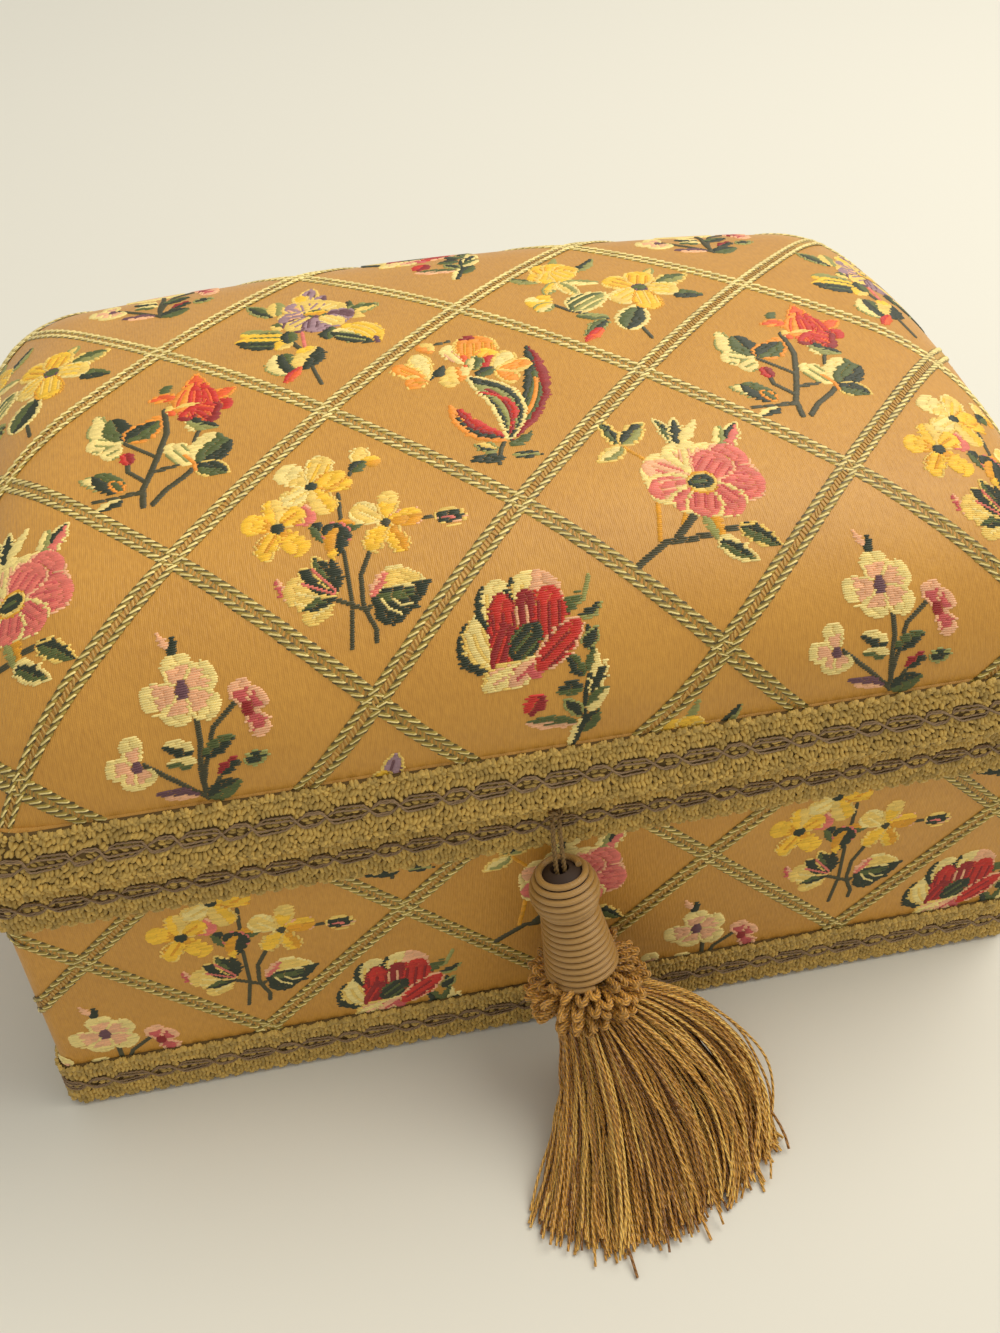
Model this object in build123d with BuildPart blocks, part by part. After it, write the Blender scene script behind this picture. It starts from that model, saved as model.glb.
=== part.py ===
import os
from math import asin, cos, hypot, pi, radians, sin, sqrt, tan

from build123d import *

# A keepsake box of covered boards with a padded, domed lid, gimp braid and a tassel.
# Millimetres. X runs along the front, Y to the back and Z up from the table.

# Driving sizes of the box
box_length = 254.0          # brocade faces of the base, left to right
box_depth = 184.0           # brocade faces of the base, front to back
rim_height = 86.9           # covered rim of the base above the table
parting_gap = 0.3           # between the rim and the closed lid
dome_top = 148.7            # highest point of the padded lid

# Sheet goods and boards
brocade = 0.8               # brocade with its backing
under_cloth = 0.6
board_thickness = 6.0
floor_board_thickness = 5.0
corner_radius = 3.0         # outer corners of the base cover
turn_in = 15.0              # brocade turned under the base
overrun = 1.0               # cuts run this far past a face

# Lid
lip_overhang = 4.0          # the lid's lower edge stands this far proud of the base
shoulder_overhang = 1.0     # and this far where its braid ends
rail_inner_thickness = 8.2  # rail under the shoulder, inside the base's face
lid_board_thickness = 3.0
rail_height = 19.0
end_crown_share = 0.165     # gentle fall of the dome from its middle to an end
end_roll_share = 0.51       # rounding at the ends, downwards
end_roll_reach = 29.9       # rounding at the ends, inwards
front_crown_share = 0.338   # the same three at the front and the back
front_roll_share = 0.561
front_roll_reach = 36.8
shoulder_radius = 15.0      # plan corner where the braid ends
dome_level_shares = (0, 0.09, 0.2, 0.34, 0.5, 0.66, 0.8, 0.9, 0.965, 0.99)
side_share = 0.12           # how far a side of a level line bows before its corner
corner_point_shares = (0, 0.25, 0.5, 0.75, 1)
flat_share = 1e-4           # a bow under this share of its chord is straight

# Braid
braid_width = 16.2
braid_thickness = 2.0
braid_rounding = 0.7
table_gap = 0.6             # bottom braid above the table

# Lining
lining_thickness = 2.4      # card with padded satin
lining_rounding = 0.9
lining_drop = 1.6           # lining stops below the rim
floor_pad_thickness = 4.5
pad_rise_shares = (0, 0.45, 0.8, 1)
pad_size_shares = (1, 1, 0.94, 0.55)
lid_lining_thickness = 1.4
lid_pad_thickness = 5.0
seat_gap = 0.2              # soft pads clear their neighbours by this

# Hinges
hinge_spacing = 140.0
hinge_width = 24.0
leaf_gap = 0.2
axis_stand_off = 2.8        # pin behind the lid's lip
knuckle_radius = 1.7
pin_radius = 0.75
pin_clearance = 0.05
knuckle_gap = 0.3
leaf_margin = 0.5           # leaf edge from the inside of the back board
hinge_clearance = 0.5       # round the leaves in the cloth and the braid
screw_radius = 1.1
screw_head_radius = 1.9
screw_length = 7.0
screw_tip = 1.6
screw_spacing = 14.0
screw_inset = 3.0           # screw line from the leaf's edge
slot_width = 0.5
slot_depth = 0.3

# Tassel
knot_radius = 1.9
knot_x = -2.0
knot_lip_gap = 0.2          # under the lip of the lid
knot_braid_gap = 0.4        # in front of the base's braid
cord_diameter = 1.2
arc_share = 0.45            # an arc of the cord against the shorter run beside it
cord_route = [
    # middle of the two strands from the knot, and half their spacing
    (0.0, 0.0, -2.1, 0.8),
    (-0.2, -2.0, -6.5, 0.85),
    (0.1, -4.6, -14.7, 0.95),
    (1.3, -6.0, -23.1, 1.1),
    (2.4, -7.7, -30.6, 1.2),
]
head_top_forward = 4.1      # the head's top and foot from the knot
head_top_drop = 13.9
head_foot_right = 4.3
head_foot_forward = 10.6
head_foot_drop = 44.1
bore_radius = 2.2
wire_diameter = 1.2
wire_pitch = 1.8
wire_seat = 0.15            # winding clear of the wooden mould
ball_radius = 7.6           # to the middle of the wound cord
neck_radius = 6.1
foot_radius = 8.4
first_turn_radius = 4.5
samples_per_turn = 24
heading_step = 1e-4         # in turns
ruff_radius = 14.6
ruff_height = 9.0
ruff_loops = 16
ruff_core_share = 0.8
skirt_neck_radius = 8.4
skirt_reach = 46.0          # forward over the table
skirt_shift = 10.0          # to the right
skirt_width = 58.0
skirt_station_shares = (
    # right, forward, height above the table, half width, half height, then the heading
    (0.27, 0.094, 0.776, 0.448, 0.303, (0.14, -0.50, -0.86)),
    (0.56, 0.235, 0.480, 0.707, 0.329, (0.20, -0.75, -0.62)),
    (0.85, 0.469, 0.270, 0.931, 0.243, (0.14, -0.97, -0.20)),
    (0.97, 0.748, 0.178, 1.000, 0.155, (0.06, -1.00, -0.05)),
    (1.00, 1.000, 0.112, 0.897, 0.095, (0.00, -1.00, 0.00)),
)

# Worked out from the sizes above
carcase_length = box_length - 2 * brocade
carcase_depth = box_depth - 2 * brocade
carcase_bottom = under_cloth + brocade
carcase_top = rim_height - brocade
inner_length = carcase_length - 2 * board_thickness
inner_depth = carcase_depth - 2 * board_thickness
floor_top = carcase_bottom + floor_board_thickness
lid_bottom = rim_height + parting_gap
rail_bottom = lid_bottom + brocade
shoulder_height = lid_bottom + braid_width + 2 * seat_gap
dome_height = dome_top - shoulder_height
end_crown = end_crown_share * dome_height
end_roll_drop = end_roll_share * dome_height
front_crown = front_crown_share * dome_height
front_roll_drop = front_roll_share * dome_height
rail_top = rail_bottom + rail_height
lid_board_top = rail_top + lid_board_thickness
rail_inner_length = box_length - 2 * rail_inner_thickness
rail_inner_depth = box_depth - 2 * rail_inner_thickness
parting = rim_height + parting_gap / 2
leaf_thickness = brocade + (parting_gap - leaf_gap) / 2
axis_y = box_depth / 2 + lip_overhang + axis_stand_off
leaf_front = inner_depth / 2 + leaf_margin
screw_y = leaf_front + screw_inset
hinge_places = [(-hinge_spacing / 2, 0), (hinge_spacing / 2, 0)]

os.makedirs("parts", exist_ok=True)


def save(piece, name):
    piece.part.label = name
    export_step(piece.part, f"parts/{name}.step")


# Base carcase: two long boards with two short boards between them, round a floor board
def wall_board(x, y, length, depth, rounded_side=0, screw_holes=()):
    with BuildPart() as board:
        with BuildSketch(Plane.XY.offset(carcase_bottom)):
            with Locations((x, y)):
                Rectangle(length, depth)
        extrude(amount=carcase_top - carcase_bottom)
        if rounded_side:
            outer = board.edges().filter_by(Axis.Z).group_by(Axis.Y)[0 if rounded_side < 0 else -1]
            fillet(outer, radius=corner_radius - brocade)
        for screw_place in screw_holes:
            with BuildSketch(Plane.XY.offset(carcase_top)):
                with Locations(screw_place):
                    Circle(screw_radius)
            extrude(amount=-screw_length, mode=Mode.SUBTRACT)
    return board


long_wall_y = (carcase_depth - board_thickness) / 2
short_wall_x = (carcase_length - board_thickness) / 2
screw_places = [
    (hinge_x + side * screw_spacing / 2, screw_y)
    for hinge_x, _ in hinge_places
    for side in (-1, 1)
]
base_front_board = wall_board(0, -long_wall_y, carcase_length, board_thickness, -1)
base_back_board = wall_board(
    0, long_wall_y, carcase_length, board_thickness, 1, screw_places
)
base_left_board = wall_board(-short_wall_x, 0, board_thickness, inner_depth)
base_right_board = wall_board(short_wall_x, 0, board_thickness, inner_depth)

with BuildPart() as base_floor_board:
    with BuildSketch(Plane.XY.offset(carcase_bottom)):
        Rectangle(inner_length, inner_depth)
    extrude(amount=floor_board_thickness)

# Brocade round the base, turned over the rim and under the boards
with BuildPart() as base_cover:
    with BuildSketch(Plane.XY.offset(under_cloth)):
        RectangleRounded(box_length, box_depth, corner_radius)
    extrude(amount=rim_height - under_cloth)
    with BuildSketch(Plane.XY.offset(carcase_bottom)):
        RectangleRounded(carcase_length, carcase_depth, corner_radius - brocade)
    extrude(amount=carcase_top - carcase_bottom, mode=Mode.SUBTRACT)
    with BuildSketch(Plane.XY.offset(carcase_top)):
        Rectangle(inner_length, inner_depth)
    extrude(amount=brocade, mode=Mode.SUBTRACT)
    with BuildSketch(Plane.XY.offset(under_cloth)):
        Rectangle(carcase_length - 2 * turn_in, carcase_depth - 2 * turn_in)
    extrude(amount=brocade, mode=Mode.SUBTRACT)
    with BuildSketch(Plane.XY.offset(carcase_top)):
        notch_front = inner_depth / 2
        with Locations(*[(x, (notch_front + axis_y) / 2) for x, _ in hinge_places]):
            Rectangle(hinge_width + 2 * hinge_clearance, axis_y - notch_front)
    extrude(amount=brocade, mode=Mode.SUBTRACT)

with BuildPart() as base_under_cloth:
    with BuildSketch():
        RectangleRounded(carcase_length - turn_in, carcase_depth - turn_in, corner_radius)
    extrude(amount=under_cloth)


# How far a face stands proud of the base, and its plan corner: the base's own, or the lid's lip
def base_face(height):
    return 0, corner_radius


def lip_face(height):
    share = (height - lid_bottom) / (shoulder_height - lid_bottom)
    lip_radius = corner_radius + lip_overhang
    overhang = lip_overhang + share * (shoulder_overhang - lip_overhang)
    return overhang, lip_radius + share * (shoulder_radius - lip_radius)


# Gimp braid: a rounded band round an upright or leaning face, notched where the hinges pass
def braid_band(bottom, face_at, notches=()):
    with BuildPart() as band:
        for grow, mode in ((braid_thickness, Mode.ADD), (0, Mode.SUBTRACT)):
            for height in (bottom, bottom + braid_width):
                overhang, radius = face_at(height)
                with BuildSketch(Plane.XY.offset(height)):
                    RectangleRounded(
                        box_length + 2 * (overhang + grow),
                        box_depth + 2 * (overhang + grow),
                        radius + grow,
                    )
            loft(mode=mode)
        for end in (0, -1):
            ring = band.faces().sort_by(Axis.Z)[end]
            fillet(ring.outer_wire().edges(), radius=braid_rounding)
        for notch_bottom, notch_top in notches:
            with BuildSketch(Plane.XY.offset(notch_bottom)):
                with Locations(*[(x, axis_y) for x, _ in hinge_places]):
                    Rectangle(notch_length, 2 * (axis_y - leaf_front))
            extrude(amount=notch_top - notch_bottom, mode=Mode.SUBTRACT)
    return band


notch_length = hinge_width + 2 * hinge_clearance
notch_height = knuckle_radius + hinge_clearance
base_bottom_braid = braid_band(table_gap, base_face)
base_top_braid = braid_band(
    rim_height - braid_width, base_face, [(parting - notch_height, parting)]
)
lid_braid = braid_band(lid_bottom + seat_gap, lip_face, [(parting, parting + notch_height)])


# Lining: four padded panels and a crowned floor pad
def lining_panel(x, y, length, depth):
    with BuildPart() as panel:
        with BuildSketch(Plane.XY.offset(floor_top)):
            with Locations((x, y)):
                Rectangle(length, depth)
        extrude(amount=carcase_top - lining_drop - floor_top)
        inward = Axis.X if depth > length else Axis.Y
        faces = panel.faces().sort_by(inward)
        inner_face = faces[0] if (x if depth > length else y) > 0 else faces[-1]
        fillet(inner_face.edges(), radius=lining_rounding)
    return panel


lined_length = inner_length - 2 * lining_thickness
lined_depth = inner_depth - 2 * lining_thickness
lining_y = (inner_depth - lining_thickness) / 2
lining_x = (inner_length - lining_thickness) / 2
lining_front = lining_panel(0, -lining_y, inner_length, lining_thickness)
lining_back = lining_panel(0, lining_y, inner_length, lining_thickness)
lining_left = lining_panel(-lining_x, 0, lining_thickness, lined_depth)
lining_right = lining_panel(lining_x, 0, lining_thickness, lined_depth)


def crowned_pad(bottom, thickness, length, depth, facing):
    with BuildPart() as pad:
        for rise_share, size_share in zip(pad_rise_shares, pad_size_shares):
            with BuildSketch(Plane.XY.offset(bottom + facing * rise_share * thickness)):
                RectangleRounded(
                    length * size_share, depth * size_share, corner_radius * size_share
                )
        loft(ruled=True)
    return pad


lining_floor_pad = crowned_pad(
    floor_top, floor_pad_thickness,
    lined_length - 2 * seat_gap, lined_depth - 2 * seat_gap, 1,
)


# The dome falls from its middle by a gentle crown and, near an edge, by a quarter ellipse
def fall(distance, half, crown, reach, drop):
    inset_share = min(half - distance, reach) / reach
    return crown * (distance / half) ** 2 + drop * (1 - sqrt(max(0, 1 - (1 - inset_share) ** 2)))


def distance_at(wanted, half, crown, reach, drop):
    near, far = 0, half
    for _ in range(50):
        middle = (near + far) / 2
        if fall(middle, half, crown, reach, drop) < wanted:
            near = middle
        else:
            far = middle
    return near


# A level line of the dome: a bowed side and two corner arcs in each quarter, three points each
def dome_arcs(height, shrink):
    half_x = box_length / 2 + shoulder_overhang - shrink
    half_y = box_depth / 2 + shoulder_overhang - shrink
    along = (half_x, end_crown, end_roll_reach, end_roll_drop)
    across = (half_y, front_crown, front_roll_reach, front_roll_drop)
    whole = dome_top - shrink - height
    first = max(side_share * whole, whole - front_crown - front_roll_drop)
    last = whole - max(side_share * whole, whole - end_crown - end_roll_drop)
    falls = [0] + [first + share * (last - first) for share in corner_point_shares] + [whole]
    quarter = [
        (distance_at(end_fall, *along), distance_at(whole - end_fall, *across))
        for end_fall in falls
    ]
    left_front = [(-x, -y) for x, y in quarter[::-1]]
    right_front = [(x, -y) for x, y in quarter]
    right_back = [(x, y) for x, y in quarter[::-1]]
    left_back = [(-x, y) for x, y in quarter]
    ring = left_front[:-1] + right_front[:-1] + right_back[:-1] + left_back[:-1]
    count = len(ring)
    starts = [index for index in range(count) if index % 6 in (1, 3, 5)]
    return [(ring[i], ring[(i + 1) % count], ring[(i + 2) % count]) for i in starts]


def is_straight(start, middle, end):
    across = Vector(*start) - Vector(*end)
    offset = Vector(*middle) - Vector(*end)
    return across.cross(offset).length < flat_share * across.length**2


# The lid's outside: a leaning lip below the shoulder, the dome above it
def lid_form(shrink, lip_bottom):
    with BuildPart() as form:
        for height in (lip_bottom, shoulder_height):
            overhang, radius = lip_face(height)
            with BuildSketch(Plane.XY.offset(height)):
                RectangleRounded(
                    box_length + 2 * (overhang - shrink),
                    box_depth + 2 * (overhang - shrink),
                    radius - shrink,
                )
        loft()
        for level_share in dome_level_shares:
            height = shoulder_height + level_share * (dome_height - shrink)
            with BuildSketch(Plane.XY.offset(height)):
                with BuildLine():
                    for start, middle, end in dome_arcs(height, shrink):
                        if is_straight(start, middle, end):
                            Line(start, end)
                        else:
                            ThreePointArc(start, middle, end)
                make_face()
        loft(ruled=True)
    return form


outside = lid_form(0, lid_bottom)
inside = lid_form(brocade, rail_bottom)

# Brocade over the lid, turned under the rails
with BuildPart() as lid_cover:
    add(outside.part)
    add(inside.part, mode=Mode.SUBTRACT)
    with BuildSketch(Plane.XY.offset(lid_bottom)):
        Rectangle(rail_inner_length, rail_inner_depth)
    extrude(amount=brocade, mode=Mode.SUBTRACT)
    with BuildSketch(Plane.XY.offset(lid_bottom)):
        lid_notch_front = rail_inner_depth / 2
        with Locations(*[(x, (lid_notch_front + axis_y) / 2) for x, _ in hinge_places]):
            Rectangle(notch_length, axis_y - lid_notch_front)
    extrude(amount=brocade, mode=Mode.SUBTRACT)

# Lid frame: four rails, mitred at the corners
with BuildPart() as lid_frame:
    add(inside.part)
    with BuildSketch(Plane.XY.offset(rail_top)):
        Rectangle(2 * box_length, 2 * box_depth)
    extrude(amount=dome_top, mode=Mode.SUBTRACT)
    with BuildSketch(Plane.XY.offset(rail_bottom)):
        Rectangle(rail_inner_length, rail_inner_depth)
    extrude(amount=rail_height, mode=Mode.SUBTRACT)
    with Locations(*[(x, y, rail_bottom + screw_length / 2) for x, y in screw_places]):
        Cylinder(screw_radius, screw_length, mode=Mode.SUBTRACT)


def rail(direction_x, direction_y):
    x = rail_inner_length / 2
    y = rail_inner_depth / 2
    reach = rail_inner_thickness + lip_overhang + overrun
    if direction_y:
        corners = [(-x, y), (x, y), (x + reach, y + reach), (-x - reach, y + reach)]
        corners = [(px, direction_y * py) for px, py in corners]
    else:
        corners = [(x, -y), (x, y), (x + reach, y + reach), (x + reach, -y - reach)]
        corners = [(direction_x * px, py) for px, py in corners]
    with BuildPart() as piece:
        add(lid_frame.part)
        with BuildSketch(Plane.XY.offset(rail_bottom)):
            with BuildLine():
                Polyline(*corners, close=True)
            make_face()
        extrude(amount=rail_height, mode=Mode.INTERSECT)
    return piece


lid_front_rail = rail(0, -1)
lid_back_rail = rail(0, 1)
lid_left_rail = rail(-1, 0)
lid_right_rail = rail(1, 0)

with BuildPart() as lid_board:
    add(inside.part)
    for start, height in ((rail_bottom, rail_height), (lid_board_top, dome_top)):
        with BuildSketch(Plane.XY.offset(start)):
            Rectangle(2 * box_length, 2 * box_depth)
        extrude(amount=height, mode=Mode.SUBTRACT)

with BuildPart() as lid_wadding:
    add(inside.part)
    with BuildSketch(Plane.XY.offset(rail_bottom)):
        Rectangle(2 * box_length, 2 * box_depth)
    extrude(amount=lid_board_top - rail_bottom, mode=Mode.SUBTRACT)

# Lining of the lid: a band inside the rails and a padded panel under the board
with BuildPart() as lid_lining_band:
    with BuildSketch(Plane.XY.offset(rail_bottom)):
        Rectangle(rail_inner_length, rail_inner_depth)
        Rectangle(
            rail_inner_length - 2 * lid_lining_thickness,
            rail_inner_depth - 2 * lid_lining_thickness,
            mode=Mode.SUBTRACT,
        )
    extrude(amount=rail_height)

lid_lining_pad = crowned_pad(
    rail_top, lid_pad_thickness,
    rail_inner_length - 2 * (lid_lining_thickness + seat_gap),
    rail_inner_depth - 2 * (lid_lining_thickness + seat_gap), -1,
)


# Butt hinges: three knuckles on a pin, both leaves let into the cloth at the parting
knuckle_length = (hinge_width - 2 * knuckle_gap) / 3
knuckle_step = knuckle_length + knuckle_gap
leaf_back = axis_y - knuckle_radius - knuckle_gap


def hinge_leaf(hinge_x, side, knuckle_offsets, bore):
    face = parting + side * leaf_gap / 2
    plate_middle = face + side * leaf_thickness / 2
    with BuildPart() as leaf:
        with Locations((hinge_x, (leaf_front + leaf_back) / 2, plate_middle)):
            Box(hinge_width, leaf_back - leaf_front, leaf_thickness)
        for offset_x in knuckle_offsets:
            with Locations((hinge_x + offset_x, (leaf_back + axis_y) / 2, plate_middle)):
                Box(knuckle_length, axis_y - leaf_back, leaf_thickness)
            with Locations((hinge_x + offset_x, axis_y, parting)):
                Cylinder(knuckle_radius, knuckle_length, rotation=(0, 90, 0))
        with Locations((hinge_x, axis_y, parting)):
            Cylinder(bore, hinge_width, rotation=(0, 90, 0), mode=Mode.SUBTRACT)
        for screw_x in (hinge_x - screw_spacing / 2, hinge_x + screw_spacing / 2):
            with Locations((screw_x, screw_y, plate_middle)):
                small, large = screw_radius, screw_head_radius
                radii = (small, large) if side < 0 else (large, small)
                Cone(*radii, leaf_thickness, mode=Mode.SUBTRACT)
    return leaf


def screws(side):
    face = parting + side * leaf_gap / 2
    with BuildPart() as group:
        with BuildSketch(Plane.XZ):
            with BuildLine():
                Polyline(
                    (0, 0),
                    (screw_head_radius, 0),
                    (screw_radius, -leaf_thickness),
                    (screw_radius, -(leaf_thickness + screw_length - screw_tip)),
                    (0, -(leaf_thickness + screw_length)),
                    close=True,
                )
            make_face()
        revolve(axis=Axis.Z)
        with Locations((0, 0, -slot_depth / 2)):
            Box(2 * screw_head_radius, slot_width, slot_depth, mode=Mode.SUBTRACT)
    one = group.part
    with BuildPart() as placed:
        for x, y in screw_places:
            upright = Plane((x, y, face), z_dir=(0, 0, -side))
            add(upright.from_local_coords(one))
    return placed


hinge_names = ("left", "right")
hinge_pieces = {}
for name, (hinge_x, _) in zip(hinge_names, hinge_places):
    hinge_pieces[f"hinge_{name}_base_leaf"] = hinge_leaf(hinge_x, -1, (0,), pin_radius)
    hinge_pieces[f"hinge_{name}_lid_leaf"] = hinge_leaf(
        hinge_x, 1, (-knuckle_step, knuckle_step), pin_radius + pin_clearance
    )
    with BuildPart() as pin:
        with Locations((hinge_x, axis_y, parting)):
            Cylinder(pin_radius, hinge_width + 2 * knuckle_gap, rotation=(0, 90, 0))
        chamfer(pin.edges().filter_by(GeomType.CIRCLE), length=knuckle_gap)
    hinge_pieces[f"hinge_{name}_pin"] = pin
hinge_base_screws = screws(-1)
hinge_lid_screws = screws(1)

# Tassel knot, under the lip of the lid and in front of the base's braid
knot_y = -(box_depth / 2 + braid_thickness + knot_braid_gap + knot_radius)
knot_z = lid_bottom - knot_lip_gap - knot_radius
with BuildPart() as tassel_knot:
    with Locations((knot_x, knot_y, knot_z)):
        Sphere(knot_radius)

# The tassel's head stands on its own axis, which leans forward and to the right
head_top = Vector(knot_x, knot_y - head_top_forward, knot_z - head_top_drop)
head_foot = Vector(knot_x + head_foot_right, knot_y - head_foot_forward, knot_z - head_foot_drop)
head_axis = head_top - head_foot
head_length = head_axis.length
head_plane = Plane(origin=head_top, x_dir=(1, 0, 0), z_dir=head_axis)

# Middle line of the wound cord: down over the ball, then down the cone
low_angle = asin(first_turn_radius / ball_radius)
high_angle = pi - asin(neck_radius / ball_radius)
ball_run = ball_radius * (high_angle - low_angle)
neck_depth = ball_radius * (cos(low_angle) - cos(high_angle))
cone_depth = head_length - neck_depth - wire_diameter
cone_run = hypot(cone_depth, foot_radius - neck_radius)


def head_profile(run):
    if run < ball_run:
        angle = low_angle + run / ball_radius
        return ball_radius * sin(angle), -ball_radius * (cos(low_angle) - cos(angle))
    share = (run - ball_run) / cone_run
    return neck_radius + share * (foot_radius - neck_radius), -neck_depth - share * cone_depth


turns = int((ball_run + cone_run) / wire_pitch)


def wound_point(turn):
    radius, depth = head_profile(turn * wire_pitch)
    angle = 2 * pi * turn
    return Vector(radius * cos(angle), radius * sin(angle), depth - wire_diameter / 2)


def wound_heading(turn):
    return (wound_point(turn + heading_step) - wound_point(turn - heading_step)).normalized()


# Where two arcs meet that join two points with the headings given there
def arc_meeting(start, start_heading, end, end_heading):
    chord = end - start
    both = start_heading + end_heading
    turn = 1 - start_heading.dot(end_heading)
    reach = (-chord.dot(both) + sqrt(chord.dot(both) ** 2 + 2 * turn * chord.dot(chord))) / (2 * turn)
    return (start + end + (start_heading - end_heading) * reach) * 0.5


half_turns = [step / 2 for step in range(2 * turns)]
with BuildLine() as wound_path:
    for here, there in zip(half_turns, half_turns[1:]):
        start, end = wound_point(here), wound_point(there)
        heading, end_heading = wound_heading(here), wound_heading(there)
        middle = arc_meeting(start, heading, end, end_heading)
        first = TangentArc(start, middle, tangent=heading)
        TangentArc(middle, end, tangent=first % 1)
with BuildPart() as wound_cord:
    with BuildSketch(Plane(origin=wound_point(0), z_dir=wound_heading(0))):
        Circle(wire_diameter / 2)
    sweep(path=wound_path.wires()[0])
samples = [wound_point(step / samples_per_turn) for step in range(samples_per_turn * (turns - 1))]
least_gap = min(
    (samples[i] - there).length
    for i in range(len(samples))
    for there in samples[i + samples_per_turn // 2:i + 3 * samples_per_turn // 2]
) - wire_diameter
print("loops in the winding", turns, "least gap between them", round(least_gap, 2))

with BuildPart() as tassel_winding:
    add(head_plane.from_local_coords(wound_cord.part))

# Turned wooden mould under the winding, bored for the cord
mould_inset = wire_diameter / 2 + wire_seat
mould_ball = ball_radius - mould_inset
mould_neck = neck_radius - mould_inset
mould_foot = foot_radius - mould_inset
ball_middle = -(wire_diameter / 2 + ball_radius * cos(low_angle))
mould_neck_depth = ball_middle - sqrt(mould_ball**2 - mould_neck**2)
mould_top_depth = ball_middle + sqrt(mould_ball**2 - bore_radius**2)
with BuildPart() as mould:
    with BuildSketch(Plane.XZ):
        with BuildLine():
            ThreePointArc(
                (bore_radius, mould_top_depth), (mould_ball, ball_middle), (mould_neck, mould_neck_depth)
            )
            Polyline(
                (mould_neck, mould_neck_depth),
                (mould_foot, -head_length),
                (bore_radius, -head_length),
                (bore_radius, mould_top_depth),
            )
        make_face()
    revolve(axis=Axis.Z)
with BuildPart() as tassel_mould:
    add(head_plane.from_local_coords(mould.part))

# Ruff of looped yarn round the foot of the head, scalloped by its loops
ruff_loop_radius = ruff_height / 2
with BuildPart() as ruff:
    ruff_middle = -head_length - ruff_height / 2
    with BuildSketch(Plane.XZ):
        with Locations((0, ruff_middle)):
            Rectangle(2 * (ruff_radius - ruff_loop_radius), ruff_core_share * ruff_height)
        split(bisect_by=Plane.YZ)
    revolve(axis=Axis.Z)
    with PolarLocations(ruff_radius - ruff_loop_radius, ruff_loops):
        with Locations((0, 0, ruff_middle)):
            Sphere(ruff_loop_radius)
with BuildPart() as tassel_ruff:
    add(head_plane.from_local_coords(ruff.part))

# Skirt: falls out of the ruff, bends forward on the table and fans out there
skirt_top = head_plane.from_local_coords(Vector(0, 0, -head_length - ruff_height - seat_gap))
skirt_stations = [(skirt_top, -head_axis, skirt_neck_radius, skirt_neck_radius)]
for right, forward, height, half_width, half_height, heading in skirt_station_shares:
    middle = (
        skirt_top.X + right * skirt_shift, skirt_top.Y - forward * skirt_reach, height * skirt_top.Z
    )
    station = (middle, Vector(*heading), half_width * skirt_width / 2, half_height * skirt_top.Z)
    skirt_stations.append(station)
with BuildPart() as tassel_skirt:
    for middle, heading, half_width, half_height in skirt_stations:
        level = Vector(1, 0, 0) - heading.normalized() * heading.normalized().X
        with BuildSketch(Plane(origin=middle, x_dir=level, z_dir=heading)):
            Ellipse(half_width, half_height)
    loft()

# Hanging cord: one cord from the knot, down through the mould, round and back up
cord_points = []
for side, route in ((-1, cord_route), (1, cord_route[::-1])):
    for x, y, z, half_spacing in route:
        cord_points.append(Vector(knot_x + x + side * half_spacing, knot_y + y, knot_z + z))
cord_radii = []
for before, here, after in zip(cord_points, cord_points[1:], cord_points[2:]):
    run_in, run_out = here - before, after - here
    half_turn = radians(run_in.get_angle(run_out)) / 2
    cord_radii.append(arc_share * min(run_in.length, run_out.length) / tan(half_turn))
print("cord radii", [round(radius, 1) for radius in cord_radii])
with BuildPart() as tassel_cord:
    with BuildLine() as cord_line:
        FilletPolyline(*cord_points, radius=cord_radii)
    with BuildSketch(Plane(origin=cord_points[0], z_dir=cord_points[1] - cord_points[0])):
        Circle(cord_diameter / 2)
    sweep(path=cord_line.wires()[0])
cord_length = cord_line.wires()[0].length
cord_volume = cord_length * pi * cord_diameter**2 / 4
volume_share = tassel_cord.part.volume / cord_volume
print("cord length", round(cord_length, 1), "volume share", round(volume_share, 3))

pieces = {
    "base_front_board": base_front_board,
    "base_back_board": base_back_board,
    "base_left_board": base_left_board,
    "base_right_board": base_right_board,
    "base_floor_board": base_floor_board,
    "base_cover": base_cover,
    "base_under_cloth": base_under_cloth,
    "base_top_braid": base_top_braid,
    "base_bottom_braid": base_bottom_braid,
    "lining_front": lining_front,
    "lining_back": lining_back,
    "lining_left": lining_left,
    "lining_right": lining_right,
    "lining_floor_pad": lining_floor_pad,
    "lid_front_rail": lid_front_rail,
    "lid_back_rail": lid_back_rail,
    "lid_left_rail": lid_left_rail,
    "lid_right_rail": lid_right_rail,
    "lid_board": lid_board,
    "lid_wadding": lid_wadding,
    "lid_cover": lid_cover,
    "lid_braid": lid_braid,
    "lid_lining_band": lid_lining_band,
    "lid_lining_pad": lid_lining_pad,
    "hinge_base_screws": hinge_base_screws,
    "hinge_lid_screws": hinge_lid_screws,
    "tassel_knot": tassel_knot,
    "tassel_cord": tassel_cord,
    "tassel_mould": tassel_mould,
    "tassel_winding": tassel_winding,
    "tassel_ruff": tassel_ruff,
    "tassel_skirt": tassel_skirt,
    **hinge_pieces,
}
for name, piece in pieces.items():
    save(piece, name)
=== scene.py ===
import math

import bpy
import numpy as np
from mathutils import Matrix, Vector


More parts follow.
